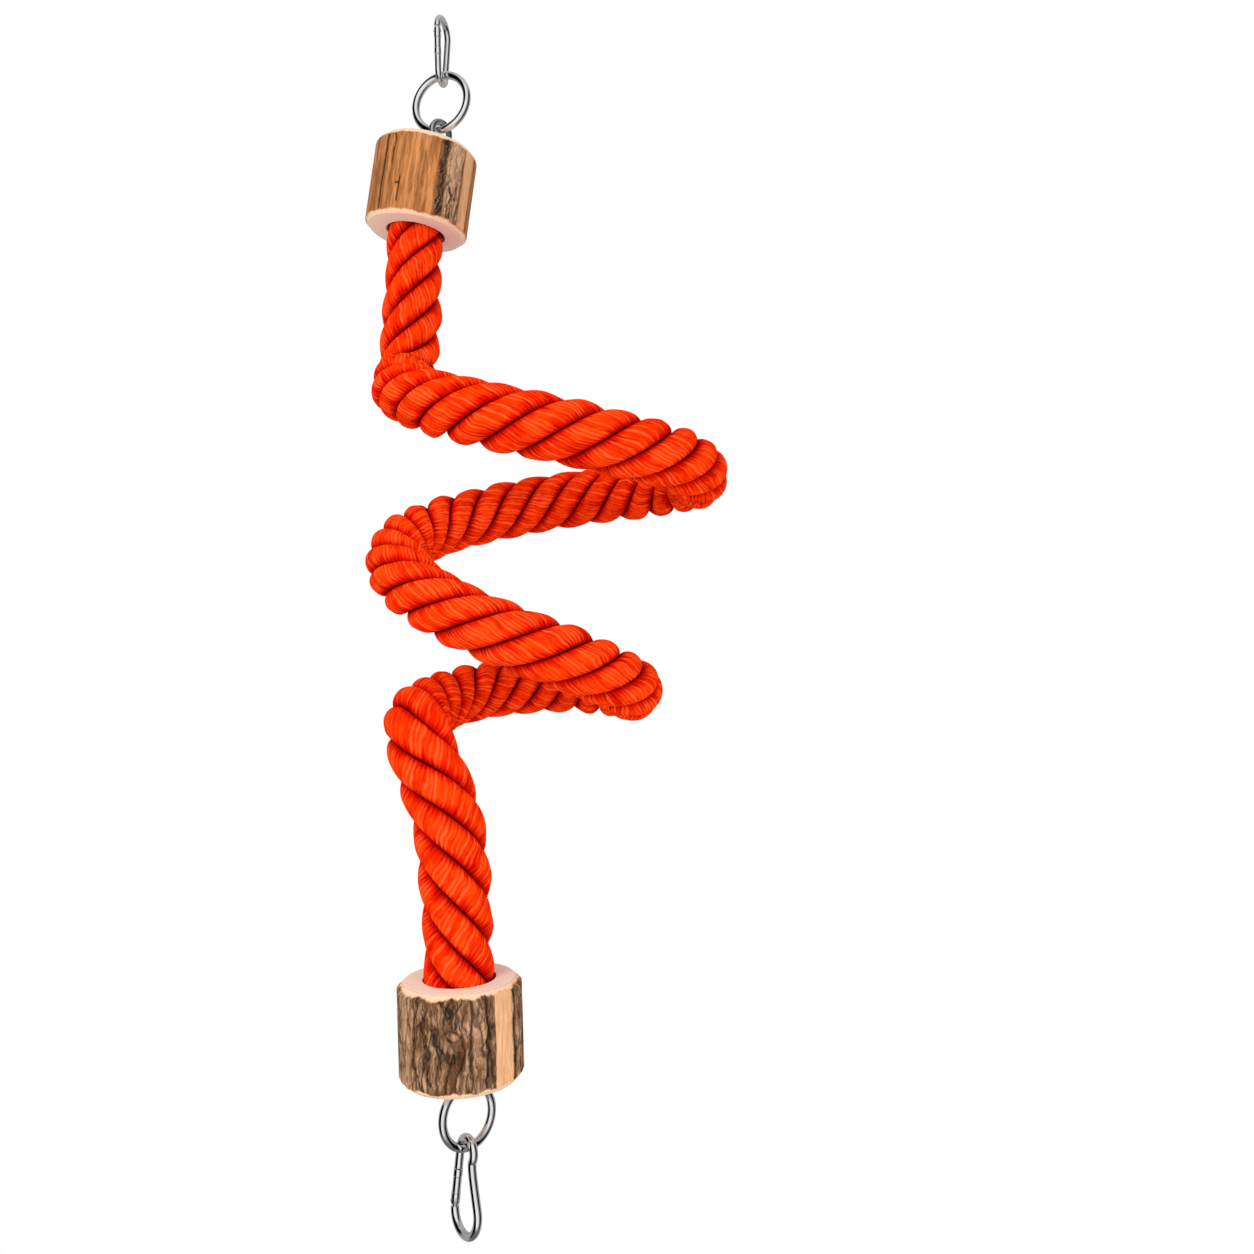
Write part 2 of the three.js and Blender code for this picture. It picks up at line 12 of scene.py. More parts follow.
import bpy
import numpy as np
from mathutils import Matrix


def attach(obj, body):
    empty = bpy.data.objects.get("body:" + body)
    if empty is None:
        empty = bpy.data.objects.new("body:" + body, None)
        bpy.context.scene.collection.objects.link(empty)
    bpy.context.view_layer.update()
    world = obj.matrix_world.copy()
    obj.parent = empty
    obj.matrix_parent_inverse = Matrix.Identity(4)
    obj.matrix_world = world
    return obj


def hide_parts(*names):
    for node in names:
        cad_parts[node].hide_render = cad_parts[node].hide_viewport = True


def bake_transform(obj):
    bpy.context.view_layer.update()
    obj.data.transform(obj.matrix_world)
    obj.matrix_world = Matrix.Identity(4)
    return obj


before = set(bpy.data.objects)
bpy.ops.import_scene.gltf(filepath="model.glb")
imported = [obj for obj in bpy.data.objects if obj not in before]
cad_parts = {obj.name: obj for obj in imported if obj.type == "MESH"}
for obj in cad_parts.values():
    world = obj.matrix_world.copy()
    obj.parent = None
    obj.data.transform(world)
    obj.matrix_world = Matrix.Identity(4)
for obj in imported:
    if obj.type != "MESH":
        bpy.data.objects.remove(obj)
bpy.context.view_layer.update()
MM = 0.001
print("solids in the frame:", len(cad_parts))

# %% [markdown]
# ## Camera
# The camera stands close in front of the toy, a little below its middle, and looks slightly upwards. It
# could be placed by eye, but the height between the two blocks is known, so its distance and tilt were
# worked out from how large the two ends of the toy appear.

# %% Camera
IMAGE_SIDE = 1254
FOCAL_PIXELS = 1154.6
SENSOR_WIDTH = 36
CAMERA_PLACE = np.array([160.0, -936.1, -634.7])
CAMERA_TILT = 6.55

camera_data = bpy.data.cameras.new("camera")
camera_data.sensor_width = SENSOR_WIDTH
camera_data.lens = FOCAL_PIXELS / IMAGE_SIDE * SENSOR_WIDTH
camera_data.clip_end = 100
camera = bpy.data.objects.new("camera", camera_data)
bpy.context.scene.collection.objects.link(camera)
camera.location = CAMERA_PLACE * MM
camera.rotation_euler = (math.radians(90 + CAMERA_TILT), 0, 0)
bpy.context.scene.camera = camera
print("lens", round(camera_data.lens, 2), "mm")

# %% [markdown]
# ## Meshes from grids
# Nearly every piece here is a grid of points that is closed into a tube or a ring. A grid could be made
# point by point in a loop, but whole arrays are quicker and the formula stays easy to read. One helper
# joins the grid's points into four-sided faces, and another puts points and faces into a mesh.

# %% Grid helpers
SQUARE = np.array([[-1, -1], [1, -1], [1, 1], [-1, 1]])
UP = np.array([0.0, 0.0, 1.0])


def grid_faces(rows, columns, wrap_rows=False):
    """Faces between neighbouring rows of a grid whose columns run round and close; rows close if asked."""
    last = rows if wrap_rows else rows - 1
    row = np.arange(last)[:, None]
    column = np.arange(columns)[None, :]
    ahead = (row + 1) % rows
    beside = (column + 1) % columns
    near = row * columns
    far = ahead * columns
    corners = np.broadcast_arrays(near + column, near + beside, far + beside, far + column)
    return np.stack(corners, -1).reshape(-1, 4)


def put_mesh(name, points, faces, material, edge_angle=40):
    """A mesh object at the origin from points in millimetres and faces as lists of point numbers."""
    mesh = bpy.data.meshes.new(name)
    mesh.from_pydata((np.asarray(points) * MM).tolist(), [], [list(face) for face in faces])
    mesh.polygons.foreach_set("use_smooth", np.ones(len(mesh.polygons), bool))
    mesh.set_sharp_from_angle(angle=math.radians(edge_angle))
    mesh.materials.append(material)
    mesh.update()
    piece = bpy.data.objects.new(name, mesh)
    bpy.context.scene.collection.objects.link(piece)
    print(name, len(mesh.vertices), "points,", sum(len(p.vertices) - 2 for p in mesh.polygons), "triangles")
    return piece


def put_attribute(piece, name, values):
    """One number per point, for a material to read."""
    attribute = piece.data.attributes.new(name, "FLOAT", "POINT")
    attribute.data.foreach_set("value", np.asarray(values, np.float32).ravel())


def unit(vectors):
    """Vectors divided by their lengths."""
    vectors = np.asarray(vectors, float)
    return vectors / np.linalg.norm(vectors, axis=-1, keepdims=True)


def smoothstep(value, low, high):
    """0 below low, 1 above high, and an S-shaped curve between."""
    t = np.clip((value - low) / (high - low), 0, 1)
    return t * t * (3 - 2 * t)


print("faces of a closed grid of 3 by 4:", len(grid_faces(3, 4, True)))

# %% [markdown]
# ## Noise that closes on itself
# Bark and rope need bumps that look random but are the same in every run, and that meet where a surface
# closes. Blender's own noise could be used in the material, but these bumps move the surface itself, so
# they are made here: random values on a coarse grid, with smooth steps between them.

# %% Lattice noise
NOISE_ROWS = 64


def lattice_noise(across, along, around, seed):
    """Noise from -1 to 1 that repeats after around cells across: random values at the corners of each cell,
    with smooth steps from corner to corner."""
    table = np.random.default_rng(seed).uniform(-1, 1, (NOISE_ROWS, around))
    column = np.floor(across).astype(int)
    row = np.floor(along).astype(int)
    sideways = smoothstep(across - column, 0, 1)
    upwards = smoothstep(along - row, 0, 1)

    def between_corners(number):
        """The values of one row of corners, blended from left to right."""
        left = table[number % NOISE_ROWS, column % around]
        right = table[number % NOISE_ROWS, (column + 1) % around]
        return left * (1 - sideways) + right * sideways

    return between_corners(row) * (1 - upwards) + between_corners(row + 1) * upwards


def layered_noise(turn, along, cells, stretch, seed, layers=3):
    """Sum of lattice noises, each twice as fine and half as strong; turn runs from 0 to 1 round the piece."""
    total = 0.0
    weight = 0.0
    for layer in range(layers):
        finer = 2 ** layer
        share = 0.5 ** layer
        noise = lattice_noise(turn * cells * finer, along / stretch * finer, cells * finer, seed + layer)
        total = total + share * noise
        weight += share
    return total / weight


print("noise at three places", layered_noise(np.array([0.1, 0.4, 0.7]), np.zeros(3), 8, 10, seed=1).round(2))

# %% [markdown]
# ## Materials as expressions
# A material is a tree of nodes. It could be wired node by node, but then its formula gets lost. The
# class below wraps one socket, so that a sum or a product of values is written as in arithmetic, and
# each operator adds the Math node that does it. Any other node comes from its one method, node.


# %% Sockets with arithmetic
class Value:
    """One output socket of a material; arithmetic on it adds Math nodes."""

    def __init__(self, tree, socket):
        self.tree = tree
        self.socket = socket

    def node(self, kind, settings=None, inputs=None, output=0):
        """Adds a node: its settings are set first, then its inputs are linked or given their values."""
        made = self.tree.nodes.new(kind)
        for name, setting in (settings or {}).items():
            setattr(made, name, setting)
        for name, value in (inputs or {}).items():
            if isinstance(value, Value):
                self.tree.links.new(value.socket, made.inputs[name])
            else:
                made.inputs[name].default_value = value
        return Value(self.tree, made.outputs[output])

    def math(self, operation, *others):
        """A Math node on this value and the others."""
        numbers = dict(enumerate((self, *others)))
        return self.node("ShaderNodeMath", {"operation": operation}, numbers)

    def __add__(self, other):
        return self.math("ADD", other)

    def __mul__(self, other):
        return self.math("MULTIPLY", other)

    def __sub__(self, other):
        return self.math("SUBTRACT", other)

    def __truediv__(self, other):
        return self.math("DIVIDE", other)

    def __pow__(self, other):
        return self.math("POWER", other)

    def math_after(self, operation, other):
        """A Math node on the other value and this one, in that order."""
        return self.node("ShaderNodeMath", {"operation": operation}, {0: other, 1: self})

    def __rsub__(self, other):
        return self.math_after("SUBTRACT", other)

    def __rtruediv__(self, other):
        return self.math_after("DIVIDE", other)

    def __rpow__(self, other):
        return self.math_after("POWER", other)

    __radd__ = __add__
    __rmul__ = __mul__

    def step(self, low, high):
        """0 below low, 1 above high, smooth between."""
        span = {1: low, 2: high, 3: 0.0, 4: 1.0}
        settings = {"interpolation_type": "SMOOTHSTEP"}
        return self.node("ShaderNodeMapRange", settings, {0: self, **span})

    def clamped(self):
        """This value, held between 0 and 1."""
        return self.math("MINIMUM", 1.0).math("MAXIMUM", 0.0)

    def drawn(self):
        """A random number from 0 to 1 that is the same wherever this value is the same."""
        return self.node("ShaderNodeTexWhiteNoise", {"noise_dimensions": "1D"}, {"W": self})

    def noise(self, vector, scale, detail=2.0, roughness=0.5):
        """Noise from 0 to 1 at a scale in cells per unit."""
        inputs = {"Vector": vector, "Scale": scale, "Detail": detail, "Roughness": roughness}
        return self.node("ShaderNodeTexNoise", None, inputs)

    def vector(self, x, y, z=0.0):
        """Three numbers as one vector."""
        return self.node("ShaderNodeCombineXYZ", None, {0: x, 1: y, 2: z})

    def parts(self):
        """The three numbers of a vector."""
        made = self.node("ShaderNodeSeparateXYZ", None, {0: self}).socket.node
        return [Value(self.tree, output) for output in made.outputs]

    def mix(self, first, second):
        """A colour between first and second, with this value as the share of the second."""
        colours = {6: first, 7: second}
        inputs = {0: self, **{k: c if isinstance(c, Value) else (*c, 1.0) for k, c in colours.items()}}
        return self.node("ShaderNodeMix", {"data_type": "RGBA"}, inputs, 2)


print("socket class", Value.__name__, "ready")

# %% [markdown]
# ### One finish at a time
# Each finish below is one material with one Principled shader. Its sockets could be looked up each
# time, but a second class keeps the shader, the numbers at a piece's points and its map in one place.
# Noise is measured in millimetres of the unrolled surface, so that a yarn or a plate of bark gets its
# real size.


# %% Finishes
class Finish:
    """A material with one Principled shader, and a way in to its inputs."""

    def __init__(self, name, **constants):
        self.material = bpy.data.materials.new(name)
        self.material.use_nodes = True
        self.tree = self.material.node_tree
        self.shader = self.tree.nodes["Principled BSDF"]
        for key, value in constants.items():
            self.shader.inputs[key.replace("_", " ")].default_value = value
        self.start = Value(self.tree, None)

    def attribute(self, name):
        """A number that the piece's points carry."""
        made = self.start.node("ShaderNodeAttribute", {"attribute_name": name})
        return Value(self.tree, made.socket.node.outputs["Fac"])

    def place(self):
        """Object coordinates, in metres."""
        made = self.start.node("ShaderNodeTexCoord").socket.node
        return Value(self.tree, made.outputs["Object"])

    def unrolled(self, name):
        """A UV map as its two numbers."""
        return self.start.node("ShaderNodeUVMap", {"uv_map": name}).parts()[:2]

    def cells(self, across, along, cell, detail=2.0, roughness=0.5):
        """Noise over an unrolled surface, in cells of a width and a length in millimetres."""
        width, length = cell
        return self.start.noise(self.start.vector(across / width, along / length), 1.0, detail, roughness)

    def feed(self, name, value):
        """Links a value to one input of the shader."""
        self.tree.links.new(value.socket, self.shader.inputs[name])

    def bump(self, height, distance, strength=1.0):
        """Feeds a height to the shader's normal; distance is the height's full size in metres."""
        inputs = {"Height": height, "Distance": distance, "Strength": strength}
        self.feed("Normal", self.start.node("ShaderNodeBump", None, inputs))


def varied(start, *noises):
    """A starting value plus each noise's distance from its middle times the weight beside it."""
    total = start
    for noise, weight in noises:
        total = total + (noise - 0.5) * weight
    return total


print("material helpers ready")

# %% [markdown]
# ## Where the chain and the blocks hang
# The upper hook hangs from the origin, with the ring in its narrow bow and the upper block's eye in the
# ring. The places could be read from the solids' boxes, but the blocks lean, so they are added up from
# the same sizes that the solids have.

# %% Chain and block sizes
CHAIN_GAP = 0.4
RING_WIRE = 6.5
UPPER_RING = {"name": "top_ring", "outside": 56, "turn": 70}
LOWER_RING = {"name": "lower_ring", "outside": 52.5, "turn": -45}
EYE = {"inside": 12, "wire": 5.5}
UPPER_HOOK = {"name": "top", "length": 63, "width": 30, "wire": 5.5, "eye_width": 22,
              "nose": 12, "pin": 33, "turn": 78, "bow_past": -6}
LOWER_HOOK = {"name": "lower", "length": 76.5, "width": 40, "wire": 6.5, "eye_width": 26,
              "nose": 16, "pin": 41, "turn": -52, "bow_past": 35}
UPPER_BLOCK = {"name": "top", "diameter": 86, "height": 73, "axis": (0.125, -0.045, 0.99),
               "eye_offset": 9.7, "eye_turn": -33, "sink": 0, "neck": 5.5, "rope": 48.5, "ragged": 0.8}
LOWER_BLOCK = {"name": "lower", "diameter": 91, "height": 75, "axis": (0.028, 0.112, -0.993),
               "eye_offset": 5, "eye_turn": 0, "sink": 10, "neck": 2.5, "rope": 54, "ragged": 1.7}
ROPE_DROP = 609.6
LOWER_MOUTH = np.array([54.5, -48, -ROPE_DROP])

EYE_RADIUS = (EYE["inside"] + EYE["wire"]) / 2
EYE_DROP = EYE_RADIUS - (EYE["wire"] + RING_WIRE) / 2 - CHAIN_GAP


def ring_radius(ring):
    """Radius of the middle of a ring's wire."""
    return (ring["outside"] - RING_WIRE) / 2


def ring_facing(turn):
    """The level direction that a ring's flat side faces, for a hook turned by that many degrees."""
    angle = math.radians(turn)
    return np.array([-math.sin(angle), math.cos(angle), 0.0])


def block_frame(size, facing):
    """A block's three directions as rows: across its eye, sideways, and into the wood."""
    axis = unit(size["axis"])
    across = unit(facing - facing.dot(axis) * axis)
    return np.array([across, np.cross(axis, across), axis])


def eye_stand(size):
    """How far the eye's centre stands from the block's mouth."""
    return size["height"] - size["sink"] + size["neck"] + EYE["inside"] / 2 + EYE["wire"]


def hook_shape(size):
    """Bow radii of the wire's middle, the distance between the bows' centres and the lean of the legs."""
    narrow = (size["eye_width"] - size["wire"]) / 2
    wide = (size["width"] - size["wire"]) / 2
    spread = size["length"] - size["wire"] - narrow - wide
    return narrow, wide, spread, math.asin((wide - narrow) / spread)


narrow, wide, spread, lean = hook_shape(UPPER_HOOK)
upper_hook_eye = -(spread + wide - UPPER_HOOK["wire"] / 2)
upper_ring_top = upper_hook_eye - narrow + (UPPER_HOOK["wire"] + RING_WIRE) / 2 + CHAIN_GAP
upper_ring = np.array([0, 0, upper_ring_top - ring_radius(UPPER_RING)])
upper_eye = np.array([0, 0, upper_ring_top - 2 * ring_radius(UPPER_RING) - EYE_DROP])
upper_frame = block_frame(UPPER_BLOCK, -ring_facing(UPPER_HOOK["turn"]))
upper_mouth = (upper_eye - upper_frame[2] * eye_stand(UPPER_BLOCK)
               - upper_frame[0] * UPPER_BLOCK["eye_offset"])
lower_mouth = upper_mouth + LOWER_MOUTH
lower_frame = block_frame(LOWER_BLOCK, ring_facing(LOWER_HOOK["turn"]))
lower_eye = (lower_mouth + lower_frame[2] * eye_stand(LOWER_BLOCK)
             + lower_frame[0] * LOWER_BLOCK["eye_offset"])
lower_ring = lower_eye - [0, 0, EYE_DROP + ring_radius(LOWER_RING)]
print("mouths", upper_mouth.round(1), lower_mouth.round(1), "lower ring", lower_ring.round(1))

# %% [markdown]
# ## Route of the rope
# The rope leaves the upper block, bends forward into the coil, swings twice from side to side and goes
# down into the lower block. A curve object could follow these points, but the rope's surface needs the
# line's own arrays, so the route is a cubic B-spline: each stretch is a weighted mean of four
# neighbouring points.

# %% Rope route
ROPE_DIAMETER = 50
ROPE_DEPTH = 39
SHOWN_DEPTH = 25
UPPER_STEM = np.array([[-2, 2.3, -36], [-2, 5.5, -69], [-4.3, 8.8, -98]])
UPPER_BEND = np.array([[-4.7, 6.9, -118.5], [-4.1, -1.5, -132], [-3.8, -15.4, -138]])
TURNING_POINTS = np.array([[-4.5, -31.5, -143.5], [243.5, -23.3, -219], [-9, -16.3, -277],
                           [189, -3.4, -394], [21, -2.8, -404.5]])
HALF_TURNS = [(-1, 99, 25.5), (1, 98, -32.5), (-1, 88, 20.5), (1, 87, -20)]
POINTS_PER_HALF_TURN = 6
LOWER_BEND = np.array([[16, -23.3, -411.5], [17.5, -42, -419], [20.5, -53, -430.5], [27, -59, -445]])
LOWER_STEM = np.array([[-13.5, -13.5, 134.5], [-4.5, -11.2, 98.5], [-1.8, -7, 59.5], [-1.4, -2.8, 23]])
DEPTH_SHARES = np.array([[1], [0.7], [0.35], [0]])
SPLINE_STEPS = 24


def half_turn(start, end, side, reach, droop, with_end):
    """Points of a half turn: x swings as a cosine, and a sine pushes the middle out in y and down in z."""
    t = np.arange(POINTS_PER_HALF_TURN + with_end)[:, None] / POINTS_PER_HALF_TURN
    points = start + (end - start) * t
    points[:, :1] = (start[0] + end[0]) / 2 + (start[0] - end[0]) / 2 * np.cos(np.pi * t)
    return points + np.sin(np.pi * t) * [0, side * reach, -droop]


def smooth_line(controls, steps):
    """Uniform cubic B-spline that starts and ends on its first and last control points."""
    ends = 2 * controls[[0, -1]] - controls[[1, -2]]
    points = np.vstack([ends[:1], controls, ends[1:]])
    t = np.arange(steps) / steps
    weights = np.stack([
        (1 - t) ** 3,
        3 * t ** 3 - 6 * t ** 2 + 4,
        -3 * t ** 3 + 3 * t ** 2 + 3 * t + 1,
        t ** 3,
    ])
    spans = np.stack([points[i:len(points) - 3 + i] for i in range(4)], 1)
    return np.vstack([np.einsum("ks,nkc->nsc", weights / 6, spans).reshape(-1, 3), controls[-1:]])


def running_length(line):
    """Distance along a line to each of its points."""
    return np.concatenate([[0], np.cumsum(np.linalg.norm(np.diff(line, axis=0), axis=1))])


def at_lengths(line, lengths, wanted):
    """Points of the line at the wanted distances along it."""
    return np.stack([np.interp(wanted, lengths, line[:, axis]) for axis in range(3)], 1)


coil = [half_turn(TURNING_POINTS[i], TURNING_POINTS[i + 1], *turn, i == len(HALF_TURNS) - 1)
        for i, turn in enumerate(HALF_TURNS)]
controls = np.vstack([
    upper_mouth + upper_frame[2] * ROPE_DEPTH * DEPTH_SHARES,
    upper_mouth + np.vstack([UPPER_STEM, UPPER_BEND, *coil, LOWER_BEND]),
    lower_mouth + LOWER_STEM,
    lower_mouth + lower_frame[2] * ROPE_DEPTH * DEPTH_SHARES[::-1],
])
fine_line = smooth_line(controls, SPLINE_STEPS)
fine_lengths = running_length(fine_line)
rope_length = fine_lengths[-1]
print("rope", round(rope_length), "mm along its middle")

# %% [markdown]
# ## Red yarn
# The rope is dyed soft yarn. Each strand is a bundle of yarns about three millimetres thick that run
# almost along the rope, because they are wound against the strands. Hair particles could show them, but
# they would be far too heavy, so a map on the surface counts across the yarns, and bumps and tones
# follow that count. Painted shade darkens the colour towards the crease between two strands, where light
# hardly gets in, and turns the strands' sides a deeper red than their crowns. The gaps between the yarns
# are painted darker as shade, most of all beside the crease. Paler streaks on the yarns' crowns are
# painted highlights.

# %% Yarn material
YARN_SPACING = 2.7
SWAY_CELL = (15, 30)
SWAY_REACH = 6.5
DRIFT_CELL = (5, 16)
DRIFT_REACH = 1.6
GAP_FADE_CELL = (4, 16)
GAP_DRAW = 0.37
PLY_CELL = (2, 28)
FIBRE_CELL = (0.9, 14)
YARN_PATCH_CELL = (8, 18)
YARN_RELIEF = 0.0016
HIGHLIGHT_SHARE = 0.6
CREASE_SHADE_RED = (0.20, 0.0008, 0.0001)
DEEP_RED = (0.48, 0.003, 0.0002)
SIDE_SHADE_RED = (0.79, 0.010, 0.0008)
CROWN_RED = (0.95, 0.049, 0.0022)
HIGHLIGHT_RED = (1.0, 0.125, 0.036)

yarn = Finish("red_yarn", Roughness=0.6, Specular_IOR_Level=0.0)
count, over_strand = yarn.unrolled("yarn")
sway = yarn.cells(count, over_strand, SWAY_CELL, 1.0) - 0.5
drift = yarn.cells(count, over_strand, DRIFT_CELL, 1.0) - 0.5
swayed = count + sway * SWAY_REACH + drift * DRIFT_REACH
yarn_count = swayed / YARN_SPACING
across_yarn = (yarn_count.math("FRACT") * 2 - 1).math("ABSOLUTE")
yarn_tone = yarn_count.math("FLOOR").drawn()
gap_depth = ((yarn_count + 0.5).math("FLOOR") + GAP_DRAW).drawn()
gap_fade = yarn.cells(count, over_strand, GAP_FADE_CELL, 1.0).step(0.2, 0.6)
gap = across_yarn.step(0.0, 1.0) * (0.3 + gap_depth ** 2.0 * 0.7) * (0.35 + gap_fade * 0.65)
ply = yarn.cells(swayed, over_strand, PLY_CELL, 3.0, 0.6)
fibre = yarn.cells(swayed, over_strand, FIBRE_CELL)
patch = yarn.cells(swayed, over_strand, YARN_PATCH_CELL)
crease = yarn.attribute("crease")
# Painted shade: the gaps between yarns are darkened, most of all beside the crease; DEEP_RED takes both this
# shade and the randomly darker yarns.
gap_shade = gap * (0.35 + crease.step(0.02, 0.28) * 0.65)
yarn.bump(fibre * 0.2 + ply * 0.4 - gap * 0.5 - across_yarn ** 2.0 * 0.25, YARN_RELIEF)
light_share = varied(0.93, (yarn_tone, 0.3), (ply, 1.3), (fibre, 0.4), (patch, 0.9)) - gap_shade * 1.05
# Painted shade: the strands' sides, towards the crease, turn from the crown's orange to a deeper red.
crown_share = varied(0.9 - crease.step(0.02, 0.45), (patch, 1.8), (yarn_tone, 0.5), (ply, 1.6))
full = crown_share.clamped().mix(SIDE_SHADE_RED, CROWN_RED)
lit = light_share.clamped().mix(DEEP_RED, full)
# Painted highlights: paler orange streaks on the yarns' ridges, away from the creases.
ridge = (1 - across_yarn).step(0.2, 0.9) * (1 - crease.step(0.1, 0.6))
painted_highlight = ridge * varied(ply, (yarn_tone, 0.5)).step(0.35, 0.8)
highlighted = (painted_highlight * HIGHLIGHT_SHARE).mix(lit, HIGHLIGHT_RED)
# Painted shade: towards the crease between two strands the colour goes to a dark red.
yarn.feed("Base Color", crease.step(0.15, 0.9).mix(highlighted, CREASE_SHADE_RED))
print("yarn spacing", YARN_SPACING, "mm, material nodes", len(yarn.tree.nodes))

# %% [markdown]
# ## The rope
# Four strands are laid round each other. They could be four swept tubes, but soft strands press flat
# against each other, so the outside is worked out as one surface round the rope's line: the radius
# falls from each strand's crown to a narrow crease, and the columns of the grid follow the strands as
# they turn. The strands turn one way in the coil and the other way in the top stem, and change over in
# the first bend.

# %% Rope thickness and twist
STRAND_TURN_LENGTH = 117
LOWER_TURN_LENGTH = 136
CHANGE_OVER_AT = 160
CHANGE_OVER_WIDTH = 22
ROPE_PHASE = 0.3
TOP_THINNING = 1.5
TOP_TAPER = 110
LOWER_SWELL = 4
SWELL_FROM_END = (330, 210)


def lower_share(along):
    """0 in the coil and 1 in the lower stem, where the rope swells."""
    start, end = SWELL_FROM_END
    return smoothstep(along, rope_length - start, rope_length - end)


def rope_radius(along):
    """Half the rope's thickness: a little less in the upper block, and more towards the lower one."""
    taper = 1 - smoothstep(along, ROPE_DEPTH, ROPE_DEPTH + TOP_TAPER)
    return (ROPE_DIAMETER - TOP_THINNING * taper + LOWER_SWELL * lower_share(along)) / 2


def carried_frames(line):
    """Two directions across a line at each point, carried along it so that they don't turn about it."""
    tangents = unit(np.gradient(line, axis=0))
    first = np.empty_like(line)
    first[0] = unit(np.cross(tangents[0], [0.0, 1.0, 0.0]))
    for i in range(1, len(line)):
        carried = first[i - 1] - first[i - 1].dot(tangents[i]) * tangents[i]
        first[i] = carried / np.linalg.norm(carried)
    return first, np.cross(tangents, first)


def strand_twist(along):
    """Angle of the strands about the line: a whole turn per turn length, summed along the rope, one way
    before the change-over and the other way after it."""
    turn_length = STRAND_TURN_LENGTH + (LOWER_TURN_LENGTH - STRAND_TURN_LENGTH) * lower_share(along)
    way = -np.tanh((along - ROPE_DEPTH - CHANGE_OVER_AT) / CHANGE_OVER_WIDTH)
    rate = 2 * np.pi / turn_length * way
    steps = (rate[1:] + rate[:-1]) / 2 * np.diff(along)
    return ROPE_PHASE + np.concatenate([[0], np.cumsum(steps)])


print("rope thickness at its ends", 2 * rope_radius(np.array([0.0, rope_length])), "mm")

# %% [markdown]
# ### The rope's surface
# Each row of the grid is a ring of points across the rope's line, turned with the strands. A screw
# modifier could repeat one section, but a real rope is never that even, so two noises make each strand
# swell and thin along its way. The columns are drawn together at the creases, where the surface bends
# most.

# %% Rope surface
STRANDS = 4
COLUMNS_PER_STRAND = 39
ROPE_ROWS = 620
CREASE_RADIUS = 0.60
CROWN_FULLNESS = 0.9
LUMPS_ROUND = 12
LUMP_LENGTH = 23
LUMP_SHARE = 0.08
SWELLING_LENGTH = 38
SWELLING_SHARE = 0.07


def strand_columns():
    """Place across a strand from -1 to 1, with the points drawn together at the creases by a sine."""
    return np.sin(np.pi / 2 * np.linspace(-1, 1, COLUMNS_PER_STRAND + 1))


rope_along = np.linspace(ROPE_DEPTH - SHOWN_DEPTH, rope_length - ROPE_DEPTH + SHOWN_DEPTH, ROPE_ROWS)
rope_line = at_lengths(fine_line, fine_lengths, rope_along)
first, second = carried_frames(rope_line)
twist = strand_twist(rope_along)
half_strand = np.pi / STRANDS
across_strand = strand_columns()
columns = STRANDS * COLUMNS_PER_STRAND
strand_number = np.arange(columns) // COLUMNS_PER_STRAND
strand_place = np.tile(across_strand[:-1], STRANDS)
column_angle = (2 * strand_number + 1 + strand_place) * half_strand
crown = np.sqrt(np.clip(1 - strand_place ** 2, 0, 1)) ** CROWN_FULLNESS
lump_place = column_angle[None, :] / (2 * np.pi) * LUMPS_ROUND
lumps = lattice_noise(lump_place, rope_along[:, None] / LUMP_LENGTH, LUMPS_ROUND, 11)
swelling = lattice_noise(strand_number[None, :] + 0.5, rope_along[:, None] / SWELLING_LENGTH, STRANDS, 5)
fullness = 1 + LUMP_SHARE * lumps + SWELLING_SHARE * swelling
radius = rope_radius(rope_along)[:, None] * (CREASE_RADIUS + (1 - CREASE_RADIUS) * crown[None, :] * fullness)
angle = column_angle[None, :] + twist[:, None]
outwards = np.cos(angle)[..., None] * first[:, None, :] + np.sin(angle)[..., None] * second[:, None, :]
rope_points = (rope_line[:, None, :] + radius[..., None] * outwards).reshape(-1, 3)
rope_quads = grid_faces(ROPE_ROWS, columns).tolist()
last_row = (ROPE_ROWS - 1) * columns
rope_ends = [list(range(columns))[::-1], list(range(last_row, last_row + columns))]
rope = put_mesh("rope_twisted", rope_points, rope_quads + rope_ends, yarn.material, 180)
put_attribute(rope, "crease", np.broadcast_to(1 - crown, (ROPE_ROWS, columns)))

# %% [markdown]
# ### The rope's yarn map
# The map counts millimetres across the yarns in one direction and across each strand in the other. It
# could be unwrapped by Blender, but the map has to follow the yarns, so its corners are set from the
# same arrays. At a crease two strands meet with different numbers, so the map is kept per corner of
# each face.

# %% Yarn map
YARN_LEAN = 0.82
LOWER_YARN_LEAN = 0.64
MAP_OFFSET = 400


def yarn_corners():
    """The map's two numbers at the four corners of each face: the turned length plus a share of the place
    across the strand, and that place itself."""
    offsets = np.random.default_rng(21).uniform(0, MAP_OFFSET, (2, STRANDS))[:, strand_number]
    width = half_strand * ROPE_DIAMETER / 2
    side = np.arange(columns) % COLUMNS_PER_STRAND
    lean = YARN_LEAN + (LOWER_YARN_LEAN - YARN_LEAN) * lower_share(rope_along)
    turned = ROPE_DIAMETER / 2 * twist
    near = slice(0, -1)
    far = slice(1, None)
    left = across_strand[:-1]
    right = across_strand[1:]
    corners = []
    for rows, places in ((near, left), (near, right), (far, right), (far, left)):
        over = np.broadcast_to(places[side] * width, (ROPE_ROWS - 1, columns))
        corners.append(turned[rows, None] + lean[rows, None] * over + offsets[0])
        corners.append(over + offsets[1])
    return np.stack(corners, -1).ravel()


